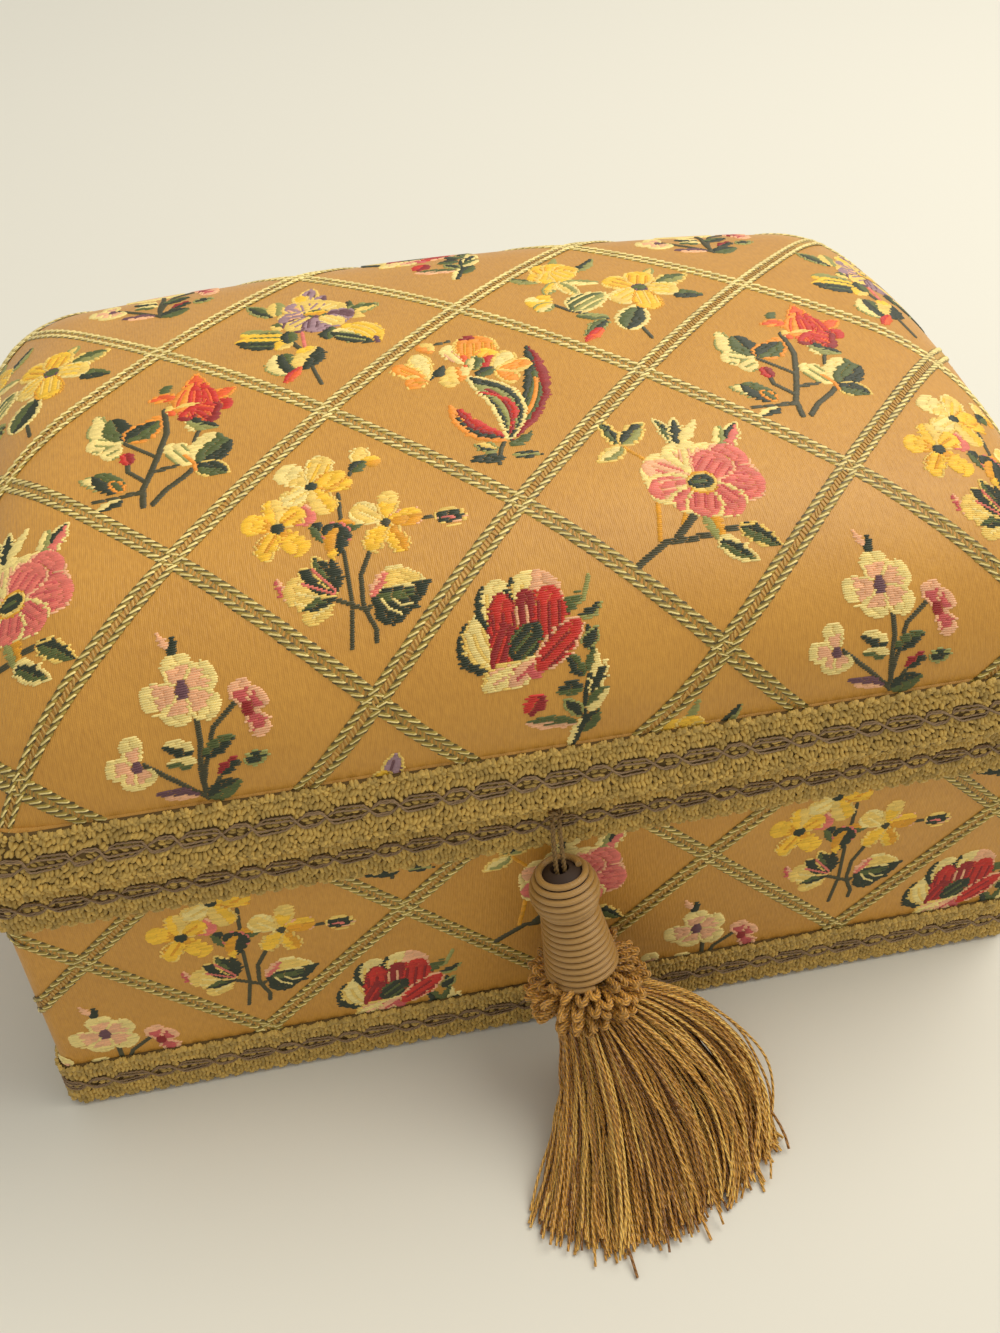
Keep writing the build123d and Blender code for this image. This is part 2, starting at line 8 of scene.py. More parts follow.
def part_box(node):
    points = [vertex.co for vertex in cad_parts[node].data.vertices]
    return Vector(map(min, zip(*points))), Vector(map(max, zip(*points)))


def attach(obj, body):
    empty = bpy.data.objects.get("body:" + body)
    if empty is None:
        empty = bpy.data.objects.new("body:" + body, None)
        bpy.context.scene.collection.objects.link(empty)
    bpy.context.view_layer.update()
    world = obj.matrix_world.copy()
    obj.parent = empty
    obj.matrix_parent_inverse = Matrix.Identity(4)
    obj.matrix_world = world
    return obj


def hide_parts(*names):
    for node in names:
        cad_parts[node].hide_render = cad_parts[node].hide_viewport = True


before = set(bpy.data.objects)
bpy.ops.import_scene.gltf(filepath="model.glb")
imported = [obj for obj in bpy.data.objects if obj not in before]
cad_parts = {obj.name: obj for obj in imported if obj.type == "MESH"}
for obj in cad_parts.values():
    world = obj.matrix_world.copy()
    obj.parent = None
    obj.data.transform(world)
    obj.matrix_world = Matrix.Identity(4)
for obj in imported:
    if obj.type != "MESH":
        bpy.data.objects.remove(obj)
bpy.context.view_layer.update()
mm = 0.001
print("frame loaded")

# Sizes of the box, read from the frame where it has them
coverLow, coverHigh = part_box("base_cover")
box = {
    "length": coverHigh.x - coverLow.x,
    "depth": coverHigh.y - coverLow.y,
    "rim": coverHigh.z,
    "foot": coverLow.z,
    "corner": 3 * mm,
    "fold": 0.8 * mm,
    "lidBottom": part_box("lid_cover")[0].z,
    "shoulder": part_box("lid_braid")[1].z + 0.2 * mm,
    "lipOverhang": 4 * mm,
    "shoulderOverhang": 1 * mm,
    "lipCorner": 7 * mm,
    "shoulderCorner": 15 * mm,
    "boardAndCloth": 6.8 * mm,   # how far the cloth runs in over the rim
    "railAndCloth": 8.2 * mm,    # and in under the lid's rails
    "turnIn": 15.8 * mm,
    "spacing": 3 * mm,           # between the columns of a strip of cloth
}
dome = {
    "top": 148.7 * mm,
    "endCrown": 7.4 * mm,        # gentle fall from the middle to an end
    "endReach": 29.9 * mm,       # then a quarter ellipse, inwards and downwards
    "endDrop": 22.9 * mm,
    "frontCrown": 15.2 * mm,
    "frontReach": 36.8 * mm,
    "frontDrop": 25.2 * mm,
    "spacing": 2 * mm,           # between the lines of the cloth's mesh
}


def unit(vectors):
    length = np.linalg.norm(vectors, axis=-1, keepdims=True)
    return vectors / np.maximum(length, 1e-12)


def linear(red, green, blue):
    # a colour as a paint chart gives it, in the renderer's linear values
    values = np.array([red, green, blue]) / 255
    return tuple(np.where(values < 0.04045, values / 12.92, ((values + 0.055) / 1.055) ** 2.4))


# Ways round the box: a rounded rectangle whose overhang and corner depend on the height
def baseFace(height):
    return np.zeros_like(height), np.full_like(height, box["corner"])


def lipFace(height):
    share = (height - box["lidBottom"]) / (box["shoulder"] - box["lidBottom"])
    overhang = box["lipOverhang"] + share * (box["shoulderOverhang"] - box["lipOverhang"])
    return overhang, box["lipCorner"] + share * (box["shoulderCorner"] - box["lipCorner"])


def faceValues(faceAt, height):
    return [float(value) for value in faceAt(np.array(height))]


def ringLengths(overhang, radius):
    straightX = box["length"] + 2 * (overhang - radius)
    straightY = box["depth"] + 2 * (overhang - radius)
    arc = math.pi / 2 * radius
    return np.array([straightX / 2, arc, straightY, arc, straightX, arc, straightY, arc, straightX / 2])


def ringPoint(run, height, overhang, radius, middle):
    # run is measured from the middle of the front to the right, on the ring called middle
    lengths = ringLengths(*middle)
    ends = np.cumsum(lengths)
    run = np.mod(run, ends[-1])
    index = np.minimum(np.searchsorted(ends, run, side="right"), 8)
    share = (run - (ends - lengths)[index]) / lengths[index]
    cornerX = box["length"] / 2 + overhang - radius
    cornerY = box["depth"] / 2 + overhang - radius
    front = (np.zeros_like(cornerX), -cornerY)
    corners = [(cornerX, -cornerY), (cornerX, cornerY), (-cornerX, cornerY), (-cornerX, -cornerY)]
    starts = [front] + [corner for corner in corners for _ in range(2)]
    stops = starts[1:] + [front]
    angle = math.pi / 2 * (np.ceil(index / 2) - 1 + np.where(index % 2 == 1, share - 1, 0))
    normal = np.stack([np.cos(angle), np.sin(angle), np.zeros_like(angle)], -1)
    straight = np.where(index % 2 == 0, share, 0)
    x, y = (np.choose(index, [start[axis] for start in starts]) * (1 - straight)
            + np.choose(index, [stop[axis] for stop in stops]) * straight for axis in (0, 1))
    place = np.stack([x, y, np.broadcast_to(height, x.shape)], -1) + normal * radius[..., None]
    return place, normal


def onBand(run, height, faceAt, middleHeight):
    # place, outward normal, way round and way up on a face of the box
    run, height = np.broadcast_arrays(np.asarray(run, float), np.asarray(height, float))
    middle = faceValues(faceAt, middleHeight)
    place, flatNormal = ringPoint(run, height, *faceAt(height), middle)
    higher, _ = ringPoint(run, height + mm, *faceAt(height + mm), middle)
    up = unit(higher - place)
    around = unit(np.cross(up, flatNormal))
    return place, unit(np.cross(around, up)), around, up


# The dome of the lid, by the lengths along the cloth from its middle
def domeProfile(half, crown, reach, drop):
    distance = np.linspace(0, half, 4001)
    inset = np.minimum(half - distance, reach) / reach
    fall = crown * (distance / half) ** 2 + drop * (1 - np.sqrt(np.maximum(0, 1 - (1 - inset) ** 2)))
    arc = np.concatenate([[0], np.cumsum(np.hypot(np.diff(distance), np.diff(fall)))])
    return arc, distance, fall


alongProfile = domeProfile(
    box["length"] / 2 + box["shoulderOverhang"], dome["endCrown"], dome["endReach"], dome["endDrop"]
)
acrossProfile = domeProfile(
    box["depth"] / 2 + box["shoulderOverhang"], dome["frontCrown"], dome["frontReach"], dome["frontDrop"]
)


def profileAt(length, profile):
    arc, distance, fall = profile
    size = np.abs(length)
    place = np.sign(length) * np.interp(size, arc, distance)
    return place, np.interp(size, arc, fall) + np.maximum(0, size - arc[-1])


def domePlace(along, across):
    x, endFall = profileAt(along, alongProfile)
    y, frontFall = profileAt(across, acrossProfile)
    return np.stack([x, y, dome["top"] - endFall - frontFall], -1)


def onDome(along, across):
    step = 0.2 * mm
    place = domePlace(along, across)
    right = unit(domePlace(along + step, across) - domePlace(along - step, across))
    back = unit(domePlace(along, across + step) - domePlace(along, across - step))
    normal = np.cross(right, back)
    flat = place * np.array([1 / box["length"], 1 / box["depth"], 0])
    normal = np.where(np.linalg.norm(normal, axis=-1, keepdims=True) < 0.05, unit(flat), normal)
    return place, unit(normal), right, back


# Making meshes
def addObject(name, data):
    made = bpy.data.objects.new(name, data)
    bpy.context.scene.collection.objects.link(made)
    return made


def setAttribute(mesh, name, kind, values):
    attribute = mesh.attributes.new(name, kind, "POINT")
    field = {"FLOAT": "value", "FLOAT_VECTOR": "vector", "FLOAT_COLOR": "color"}[kind]
    attribute.data.foreach_set(field, np.ascontiguousarray(values, np.float32).ravel())


def tinted(values):
    return np.concatenate([values, np.ones((len(values), 1))], 1)


def meshFrom(name, vertices, faces, uv=None):
    mesh = bpy.data.meshes.new(name)
    mesh.from_pydata([tuple(v) for v in vertices], [], [tuple(f) for f in faces])
    if uv is not None:
        layer = mesh.uv_layers.new(name="cloth")
        corners = np.zeros(len(mesh.loops), int)
        mesh.loops.foreach_get("vertex_index", corners)
        layer.data.foreach_set("uv", np.asarray(uv, np.float32)[corners].ravel())
    mesh.shade_smooth()
    mesh.update()
    return mesh


def gridFaces(rows, columns):
    starts = [row * columns + column for row in range(rows - 1) for column in range(columns - 1)]
    return [(start, start + 1, start + columns + 1, start + columns) for start in starts]


def dressed(made, body, count, what):
    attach(made, body)
    print(made.name, count, what)
    return made


# Node trees
def addNode(tree, kind, values=(), **settings):
    # a new node's outputs; its inputs are given by name or number, as values or as other outputs
    node = tree.nodes.new(kind)
    for key, value in settings.items():
        setattr(node, key, value)
    for key, value in dict(values).items():
        if isinstance(value, bpy.types.NodeSocket):
            tree.links.new(value, node.inputs[key])
        else:
            node.inputs[key].default_value = value
    return node.outputs


def mathNode(tree, operation, *values):
    return addNode(tree, "ShaderNodeMath", enumerate(values), operation=operation)[0]


def vectorNode(tree, operation, values):
    return addNode(tree, "ShaderNodeVectorMath", values, operation=operation)[0]


def namedField(tree, name, kind):
    return addNode(tree, "GeometryNodeInputNamedAttribute", {"Name": name}, data_type=kind)["Attribute"]


def storedField(tree, geometry, name, kind, value):
    return addNode(tree, "GeometryNodeStoreNamedAttribute", {
        "Geometry": geometry, "Name": name, "Value": value,
    }, data_type=kind, domain="POINT")[0]


def openedTree(name, inputs):
    tree = bpy.data.node_groups.new(name, "GeometryNodeTree")
    for label, kind in [("Geometry", "Geometry"), *inputs.items()]:
        tree.interface.new_socket(label, in_out="INPUT", socket_type="NodeSocket" + kind)
    tree.interface.new_socket("Geometry", in_out="OUTPUT", socket_type="NodeSocketGeometry")
    return tree, addNode(tree, "NodeGroupInput")


def closedTree(tree, start, geometry):
    real = addNode(tree, "GeometryNodeRealizeInstances", {"Geometry": geometry})[0]
    done = addNode(tree, "GeometryNodeSetMaterial", {
        "Geometry": real, "Material": start["Material"],
    })[0]
    addNode(tree, "NodeGroupOutput", {"Geometry": done})
    return tree


def stitchTreeMade():
    # one small thread laid on each point, along its own way, proud of the cloth
    tree, start = openedTree("laidStitches", {"Stitch": "Object", "Material": "Material"})
    turn = addNode(tree, "FunctionNodeAxesToRotation", {
        "Primary Axis": namedField(tree, "along", "FLOAT_VECTOR"),
        "Secondary Axis": namedField(tree, "out", "FLOAT_VECTOR"),
    }, primary_axis="X", secondary_axis="Z")[0]
    shape = addNode(tree, "GeometryNodeObjectInfo", {"Object": start["Stitch"]}, transform_space="ORIGINAL")
    laid = addNode(tree, "GeometryNodeInstanceOnPoints", {
        "Points": start["Geometry"], "Instance": shape["Geometry"], "Rotation": turn,
        "Scale": namedField(tree, "size", "FLOAT_VECTOR"),
    })[0]
    return closedTree(tree, start, laid)


def yarnTreeMade():
    # lines become round yarn, or a rope of several plies twisted round the line
    tree, start = openedTree("twistedYarn", {
        "Material": "Material", "Sides": "Int", "Plies": "Int", "Offset": "Float", "Pitch": "Float",
    })
    lines = addNode(tree, "GeometryNodeMeshToCurve", {"Mesh": start["Geometry"]})[0]
    plies = addNode(tree, "GeometryNodeDuplicateElements", {
        "Geometry": lines, "Amount": start["Plies"],
    }, domain="SPLINE")
    length = addNode(tree, "GeometryNodeSplineParameter")["Length"]
    turns = mathNode(tree, "DIVIDE", length, start["Pitch"])
    part = mathNode(tree, "DIVIDE", plies["Duplicate Index"], start["Plies"])
    angle = mathNode(tree, "MULTIPLY", mathNode(tree, "ADD", turns, part), 2 * math.pi)
    normal = addNode(tree, "GeometryNodeInputNormal")["Normal"]
    tangent = addNode(tree, "GeometryNodeInputTangent")[0]
    side = vectorNode(tree, "CROSS_PRODUCT", {0: tangent, 1: normal})
    shifts = {}
    for index, (way, wave) in enumerate(((normal, "COSINE"), (side, "SINE"))):
        reach = mathNode(tree, "MULTIPLY", mathNode(tree, wave, angle), start["Offset"])
        shifts[index] = vectorNode(tree, "SCALE", {0: way, "Scale": reach})
    moved = addNode(tree, "GeometryNodeSetPosition", {
        "Geometry": plies["Geometry"], "Offset": vectorNode(tree, "ADD", shifts),
    })[0]
    ring = addNode(tree, "GeometryNodeCurvePrimitiveCircle", {
        "Resolution": start["Sides"], "Radius": 1.0,
    }, mode="RADIUS")[0]
    position = addNode(tree, "GeometryNodeInputPosition")[0]
    tube = addNode(tree, "GeometryNodeCurveToMesh", {
        "Curve": storedField(tree, moved, "run", "FLOAT", length),
        "Profile Curve": storedField(tree, ring, "round", "FLOAT_VECTOR", position),
        "Scale": namedField(tree, "thick", "FLOAT"), "Fill Caps": True,
    })[0]
    smooth = addNode(tree, "GeometryNodeSetShadeSmooth", {"Geometry": tube})[0]
    return closedTree(tree, start, smooth)


def applyTree(made, tree, values):
    modifier = made.modifiers.new(tree.name, "NODES")
    modifier.node_group = tree
    for item in tree.interface.items_tree:
        if item.in_out == "INPUT" and item.name in values:
            modifier[item.identifier] = values[item.name]
    graph = bpy.context.evaluated_depsgraph_get()
    mesh = bpy.data.meshes.new_from_object(made.evaluated_get(graph), depsgraph=graph)
    made.modifiers.remove(modifier)
    made.data = mesh
    mesh.name = made.name
    return made


def stitchShapeMade(name, stations, sides):
    # a thread's float as a rounded bar: (place along it, width, height) at each station
    vertices = []
    for x, width, height in stations:
        for turn in np.linspace(0, math.pi, sides):
            vertices.append((x, -0.5 * width * math.cos(turn), height * math.sin(turn)))
    shape = addObject(name, meshFrom(name, vertices, gridFaces(len(stations), sides)))
    shape.hide_render = True
    return shape


stitchTree = stitchTreeMade()
yarnTree = yarnTreeMade()
floatStations = ((-0.5, 0.5, 0.1), (-0.34, 1, 1), (0.34, 1, 1), (0.5, 0.5, 0.1))
ribStations = ((-0.5, 0.4, 0.35), (-0.22, 1, 0.95), (0.22, 1, 0.95), (0.5, 0.4, 0.35))
stitchShape = stitchShapeMade("stitchShape", floatStations, 3)


class Threads:
    # a growing list of stitches for one piece
    def __init__(self):
        self.parts = []

    def add(self, place, along, out, length, width, height, tint):
        count = len(place)
        size = np.stack([np.broadcast_to(v, count) for v in (length, width, height)], -1)
        tint = np.broadcast_to(tint, (count, 3))
        self.parts.append(np.concatenate([place, along, out, size, tint], 1))

    def piece(self, name, material, body, shape=stitchShape):
        rows = np.concatenate(self.parts)
        mesh = bpy.data.meshes.new(name)
        mesh.vertices.add(len(rows))
        mesh.vertices.foreach_set("co", np.ascontiguousarray(rows[:, 0:3], np.float32).ravel())
        for key, first in (("along", 3), ("out", 6), ("size", 9)):
            setAttribute(mesh, key, "FLOAT_VECTOR", rows[:, first:first + 3])
        setAttribute(mesh, "tint", "FLOAT_COLOR", tinted(rows[:, 12:15]))
        made = applyTree(addObject(name, mesh), stitchTree, {"Stitch": shape, "Material": material})
        return dressed(made, body, len(rows), "stitches")


def yarnPiece(name, strands, material, body, sides=6, plies=1, offset=0.0, pitch=0.01):
    # strands: lists of points with a thickness and a tint, closed or open
    places, edges, thick, tint = [], [], [], []
    for points, radius, colour, closed in strands:
        first, count = len(thick), len(points)
        places.append(points)
        thick += list(np.broadcast_to(radius, count))
        tint += [colour] * count
        edges += [(first + i, first + i + 1) for i in range(count - 1)]
        if closed:
            edges.append((first + count - 1, first))
    mesh = bpy.data.meshes.new(name)
    mesh.from_pydata([tuple(p) for p in np.concatenate(places)], edges, [])
    setAttribute(mesh, "thick", "FLOAT", np.array(thick))
    setAttribute(mesh, "tint", "FLOAT_COLOR", tinted(np.array(tint)))
    made = applyTree(addObject(name, mesh), yarnTree, {
        "Material": material, "Sides": sides, "Plies": plies, "Offset": offset, "Pitch": pitch,
    })
    return dressed(made, body, len(made.data.polygons), "faces")


# Finishes
def newMaterial(name, roughness, sheen=0.0, metallic=0.0):
    material = bpy.data.materials.new(name)
    material.use_nodes = True
    shader = material.node_tree.nodes["Principled BSDF"]
    looks = {"Roughness": roughness, "Metallic": metallic, "Sheen Weight": sheen, "Sheen Roughness": 0.4}
    for key, value in looks.items():
        shader.inputs[key].default_value = value
    return material, material.node_tree, shader


def surfaced(tree, shader, colour, height, distance, strength=1.0):
    # a finish's colour, and the fine relief that catches the light
    tree.links.new(colour, shader.inputs["Base Color"])
    bump = addNode(tree, "ShaderNodeBump", {
        "Strength": strength, "Distance": distance, "Height": height,
    })
    tree.links.new(bump["Normal"], shader.inputs["Normal"])


def mixed(tree, share, first, second):
    return addNode(tree, "ShaderNodeMix", {0: share, 6: (*first, 1), 7: (*second, 1)}, data_type="RGBA")[2]


def noiseOf(tree, place, scale, detail):
    return addNode(tree, "ShaderNodeTexNoise", {"Scale": scale, "Detail": detail, "Vector": place})["Fac"]


def stretchedPlace(tree, place, scale):
    return addNode(tree, "ShaderNodeMapping", {"Vector": place, "Scale": scale})[0]


def stitchedTint(tree, value):
    # the colour that each stitch carries, lighter or darker
    tint = addNode(tree, "ShaderNodeAttribute", attribute_name="tint")["Color"]
    return addNode(tree, "ShaderNodeHueSaturation", {"Value": value, "Color": tint})[0]


def weighed(tree, first, firstShare, second, secondShare):
    return mathNode(tree, "ADD", mathNode(tree, "MULTIPLY", first, firstShare),
                    mathNode(tree, "MULTIPLY", second, secondShare))


# How fine each noise is, and how much each part of a cloth counts for in its relief and colour
grain = {"slub": 1500, "slubStretch": 0.28, "clothCloud": 45, "threadCloud": 160, "plainCloud": 60}
weights = {"rib": 0.34, "weft": 0.12, "slub": 3.2, "relief": 0.2, "cloud": 0.4, "fleck": 0.35}


def wovenMaterial(name, colour, darker, ribPitch, weftPitch, roughness, sheen, depth):
    # satin or plain cloth with its own flat sizes in metres as UV: ribs, wefts, slubs and a slight cloud
    material, tree, shader = newMaterial(name, roughness, sheen)
    place = addNode(tree, "ShaderNodeUVMap", uv_map="cloth")[0]
    parts = addNode(tree, "ShaderNodeSeparateXYZ", {0: place})
    rib, weft = (mathNode(tree, "SINE", mathNode(tree, "MULTIPLY", part, 2 * math.pi / pitch))
                 for part, pitch in ((parts[0], ribPitch), (parts[1], weftPitch)))
    slub = noiseOf(tree, stretchedPlace(tree, place, (1, grain["slubStretch"], 1)), grain["slub"], 2)
    cloud = noiseOf(tree, place, grain["clothCloud"], 3)
    # the colour is darker where the relief is low: painted shade in the grooves between ribs and wefts, and
    # the cloth's own uneven tone along its slubs and in its cloud
    height = mathNode(tree, "ADD", weighed(tree, rib, weights["rib"], weft, weights["weft"]),
                      mathNode(tree, "MULTIPLY", slub, weights["slub"]))
    share = weighed(tree, height, weights["relief"], cloud, weights["cloud"])
    surfaced(tree, shader, mixed(tree, share, darker, colour), height, depth)
    return material


def threadMaterial(name, roughness, sheen, fibre=2600.0, depth=0.05 * mm):
    # silk or wool thread in the colour that each stitch carries
    material, tree, shader = newMaterial(name, roughness, sheen)
    place = addNode(tree, "ShaderNodeTexCoord")["Object"]
    fleck = noiseOf(tree, place, fibre, 2)
    cloud = noiseOf(tree, place, grain["threadCloud"], 2)
    value = mathNode(tree, "ADD", weighed(tree, fleck, weights["fleck"], cloud, weights["fleck"]), 0.66)
    surfaced(tree, shader, stitchedTint(tree, value), fleck, depth)
    return material


def twistMaterial(name, roughness, sheen, plies, pitch, depth, plyShading=0.16):
    # yarn whose plies wind round it, read from its own length and round
    material, tree, shader = newMaterial(name, roughness, sheen)
    around = addNode(tree, "ShaderNodeAttribute", attribute_name="round")["Vector"]
    run = addNode(tree, "ShaderNodeAttribute", attribute_name="run")["Fac"]
    parts = addNode(tree, "ShaderNodeSeparateXYZ", {0: around})
    angle = mathNode(tree, "ARCTAN2", parts[1], parts[0])
    wave = mathNode(tree, "SINE", weighed(tree, angle, float(plies), run, 2 * math.pi / pitch))
    # the tint is painted lighter on the crests of the plies and darker between them: painted highlight and
    # shade of the twist, following the same wave as the bump
    lit = mathNode(tree, "MULTIPLY_ADD", wave, plyShading, 0.86)
    surfaced(tree, shader, stitchedTint(tree, lit), wave, depth)
    return material


finishes = {
    "ground": wovenMaterial("goldSatin", linear(218, 160, 62), linear(166, 112, 34), 0.42 * mm, 0.3 * mm,
                            0.46, 0.08, 0.04 * mm),
    "silk": threadMaterial("brocadeSilk", 0.5, 0.25),
    "gimp": threadMaterial("gimpYarn", 0.62, 0.1, 1800.0, 0.08 * mm),
    "lattice": twistMaterial("latticeCord", 0.6, 0.1, 2, 1.3 * mm, 0.06 * mm),
    "tassel": twistMaterial("tasselSilk", 0.34, 0.2, 2, 2.0 * mm, 0.14 * mm, 0.3),
    "winding": twistMaterial("windingSilk", 0.26, 0.15, 16, 60 * mm, 0.03 * mm),
    "lining": wovenMaterial("liningSatin", linear(226, 200, 150), linear(196, 166, 112), 0.35 * mm, 0.2 * mm,
                            0.36, 0.2, 0.02 * mm),
}


def plainMaterial(name, colour, roughness, metallic=0.0, sheen=0.0, stretch=0.0):
    # wood, brass or wadding, with a slight cloud in its own coordinates
    material, tree, shader = newMaterial(name, roughness, sheen, metallic)
    place = addNode(tree, "ShaderNodeTexCoord")["Object"]
    cloud = noiseOf(tree, stretchedPlace(tree, place, (1, 1 + stretch, 1 + stretch)), grain["plainCloud"], 4)
    darker = tuple(0.72 * value for value in colour)
    surfaced(tree, shader, mixed(tree, cloud, darker, colour), cloud, 0.1 * mm, 0.4)
    return material


finishes["wood"] = plainMaterial("boardWood", linear(186, 150, 104), 0.7, stretch=12)
# the mould is coloured very dark, as painted shade, so that the bore at the top of the head reads as a deep
# hole
finishes["mould"] = plainMaterial("mouldWood", linear(58, 38, 20), 0.7, stretch=12)
finishes["brass"] = plainMaterial("hingeBrass", linear(196, 156, 84), 0.34, metallic=1.0)


def paint(finish, *names):
    for name in names:
        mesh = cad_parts[name].data
        mesh.materials.clear()
        mesh.materials.append(finishes[finish])


def clothPiece(name, parts, finish, body):
    # several strips of one cloth as one mesh; a part is its places, its faces and its flat sizes
    vertices, faces, uv = [], [], []
    for places, partFaces, flat in parts:
        first = len(vertices)
        vertices += list(places)
        faces += [tuple(first + corner for corner in face) for face in partFaces]
        uv += list(flat)
    made = addObject(name, meshFrom(name, vertices, faces, np.array(uv)))
    made.data.materials.append(finishes[finish])
    return dressed(made, body, len(faces), "faces")


def roundTheBox(rows, middle):
    # rows of (overhang, corner radius, height), joined into a strip with its seam at the back
    lengths = ringLengths(*middle)
    half = lengths.sum() / 2
    runs = list(np.arange(-half, half, box["spacing"])) + [half]
    ends = np.cumsum(lengths)
    for corner in (1, 3, 5, 7):
        places = ends[corner - 1] + lengths[corner] * np.linspace(0, 1, 9)
        runs += list(np.where(places > half, places - 2 * half, places))
    runs = np.unique(np.round(runs, 7))
    places, flat, depth, before = [], [], 0.0, None
    for overhang, radius, height in rows:
        if before is not None:
            depth += math.hypot(overhang - before[0], height - before[2])
        before = (overhang, radius, height)
        ones = np.ones_like(runs)
        ring, _ = ringPoint(runs, height * ones, overhang * ones, radius * ones, middle)
        places.append(ring)
        flat.append(np.stack([runs, depth * ones], -1))
    faces = gridFaces(len(rows), len(runs))
    return np.concatenate(places), [face[::-1] for face in faces], np.concatenate(flat)


# The base's brocade: turned in over the rim, down the walls and under the floor
def baseClothRows():
    corner, rim, foot, fold = box["corner"], box["rim"], box["foot"], box["fold"]
    rows = [(-box["boardAndCloth"], 0.2 * mm, rim - 3 * mm), (-box["boardAndCloth"], 0.2 * mm, rim)]
    for angle in np.linspace(0, math.pi / 2, 4):
        inwards = fold * (1 - math.sin(angle))
        rows.append((-inwards, corner - inwards, rim - fold * (1 - math.cos(angle))))
    rows += [(0, corner, height) for height in np.linspace(rim - fold, foot + fold, 30)[1:]]
    rows += [(-0.3 * fold, corner - 0.3 * fold, foot + 0.3 * fold), (-fold, corner - fold, foot)]
    rows.append((-box["turnIn"], 0.2 * mm, foot))
    return rows


baseMiddle = (0.0, box["corner"])
halfRound = ringLengths(*baseMiddle).sum() / 2
baseStrip = roundTheBox(baseClothRows(), baseMiddle)
baseCloth = clothPiece("brocade_base", [baseStrip], "ground", "base")
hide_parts("base_cover")


# The lid's brocade: the padded dome, its lip and the turning under the rails
def domePart():
    reachX = alongProfile[0][-1] + 20 * mm
    reachY = acrossProfile[0][-1] + 20 * mm
    x = np.linspace(-reachX, reachX, 2 * int(reachX / dome["spacing"]) + 1)
    y = np.linspace(-reachY, reachY, 2 * int(reachY / dome["spacing"]) + 1)
    gridX, gridY = np.meshgrid(x, y)
    places = domePlace(gridX, gridY).reshape(-1, 3)
    kept = places[:, 2] > box["shoulder"] - 5 * mm
    number = np.cumsum(kept) - 1
    faces = [
        tuple(number[corner] for corner in face)
        for face in gridFaces(len(y), len(x))
        if all(kept[corner] for corner in face)
    ]
    flat = np.stack([gridX.ravel(), gridY.ravel()], -1)
    return places[kept], faces, flat[kept]


def lidClothRows():
    bottom, shoulder, fold = box["lidBottom"], box["shoulder"], box["fold"]
    rows = [(-6 * mm, 9 * mm, shoulder - 1 * mm)]
    for height in np.linspace(shoulder, bottom + fold, 9):
        rows.append((*faceValues(lipFace, height), height))
    overhang, radius = box["lipOverhang"], box["lipCorner"]
    rows += [(overhang - 0.3 * fold, radius - 0.3 * fold, bottom + 0.3 * fold)]
    rows += [(overhang - fold, radius - fold, bottom), (-box["railAndCloth"], 0.2 * mm, bottom)]
    return rows


lipMiddle = faceValues(lipFace, (box["lidBottom"] + box["shoulder"]) / 2)
lidCloth = clothPiece("brocade_lid", [domePart(), roundTheBox(lidClothRows(), lipMiddle)], "ground",
                      "lid")
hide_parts("lid_cover", "lid_wadding")


# The brocade's pattern: diamonds of this size, how much the lid's cloth is stretched, and where the same
# crossing lies on each cloth
pattern = {
    "width": 75.2 * mm, "height": 76.75 * mm, "lidWidth": 1.010, "lidHeight": 1.032,
    "rows": range(-4, 9), "columns": range(-8, 9),
}


def ontoLid(x, y):
    place, out, right, up = onDome(x, y)
    return place, out, right, up, place[..., 2] > box["shoulder"] - 1.5 * mm


def ontoBase(x, y):
    place, out, right, up = onBand(x, y, baseFace, box["rim"] / 2)
    shown = (y > box["foot"] + 1 * mm) & (y < box["rim"] - 1 * mm) & (np.abs(x) < halfRound)
    return place, out, right, up, shown


lidPattern = {
    "originX": -0.9 * mm, "originY": -56.9 * mm, "onto": ontoLid,
    "width": pattern["lidWidth"] * pattern["width"], "height": pattern["lidHeight"] * pattern["height"],
    "reachX": 152 * mm, "lowY": -124 * mm, "highY": 124 * mm,
}
basePattern = {
    "originX": -37.8 * mm, "originY": 55.5 * mm, "onto": ontoBase,
    "width": pattern["width"], "height": pattern["height"],
    "reachX": halfRound, "lowY": 0.0, "highY": box["rim"],
}


def layThreads(threads, onto, x, y, angle, length, width, height, tint, lift=0.0):
    # threads at flat places of a cloth, each turned by its angle from the cloth's right
    place, out, right, up, shown = onto(x, y)
    angle = np.broadcast_to(angle, x.shape)[..., None]
    along = unit(right * np.cos(angle) + up * np.sin(angle))
    spread = [np.broadcast_to(v, x.shape)[shown] for v in (length, width, height)]
    lift = np.broadcast_to(lift, x.shape)[..., None]
    tint = np.broadcast_to(tint, (*x.shape, 3))[shown]
    threads.add((place + out * lift)[shown], along[shown], out[shown], *spread, tint)


trellis = {
    "period": 2.4 * mm, "length": 3.7 * mm, "width": 0.62 * mm,
    "fillPitch": 1.1 * mm, "fillLength": 1.7 * mm, "fillWidth": 0.5 * mm, "fillRise": 0.2 * mm,
    # the rope's silks: light is its painted highlight, middle and low its painted shade, and the darkest one
    # painted shade in the gaps between plies
    "light": linear(242, 220, 142), "middle": linear(168, 142, 54), "low": linear(120, 98, 28),
    "notchShade": linear(76, 62, 16), "shade": 0.84, "shadeSpread": 0.3, "lengthShare": 0.92, "lengthSpread": 0.16,
    "fillTurn": 0.3, "fillTurnSpread": 0.25, "turnSpread": 0.04,
}
# the two ways of the bands: slope, angle of the stitches, lift, offset of a rope, silk of the filling
bandWays = (
    (-1, -20, 0.0, 1.3 * mm, linear(156, 126, 52)), (1, 22, 0.16 * mm, 1.5 * mm, linear(192, 150, 72)),
)
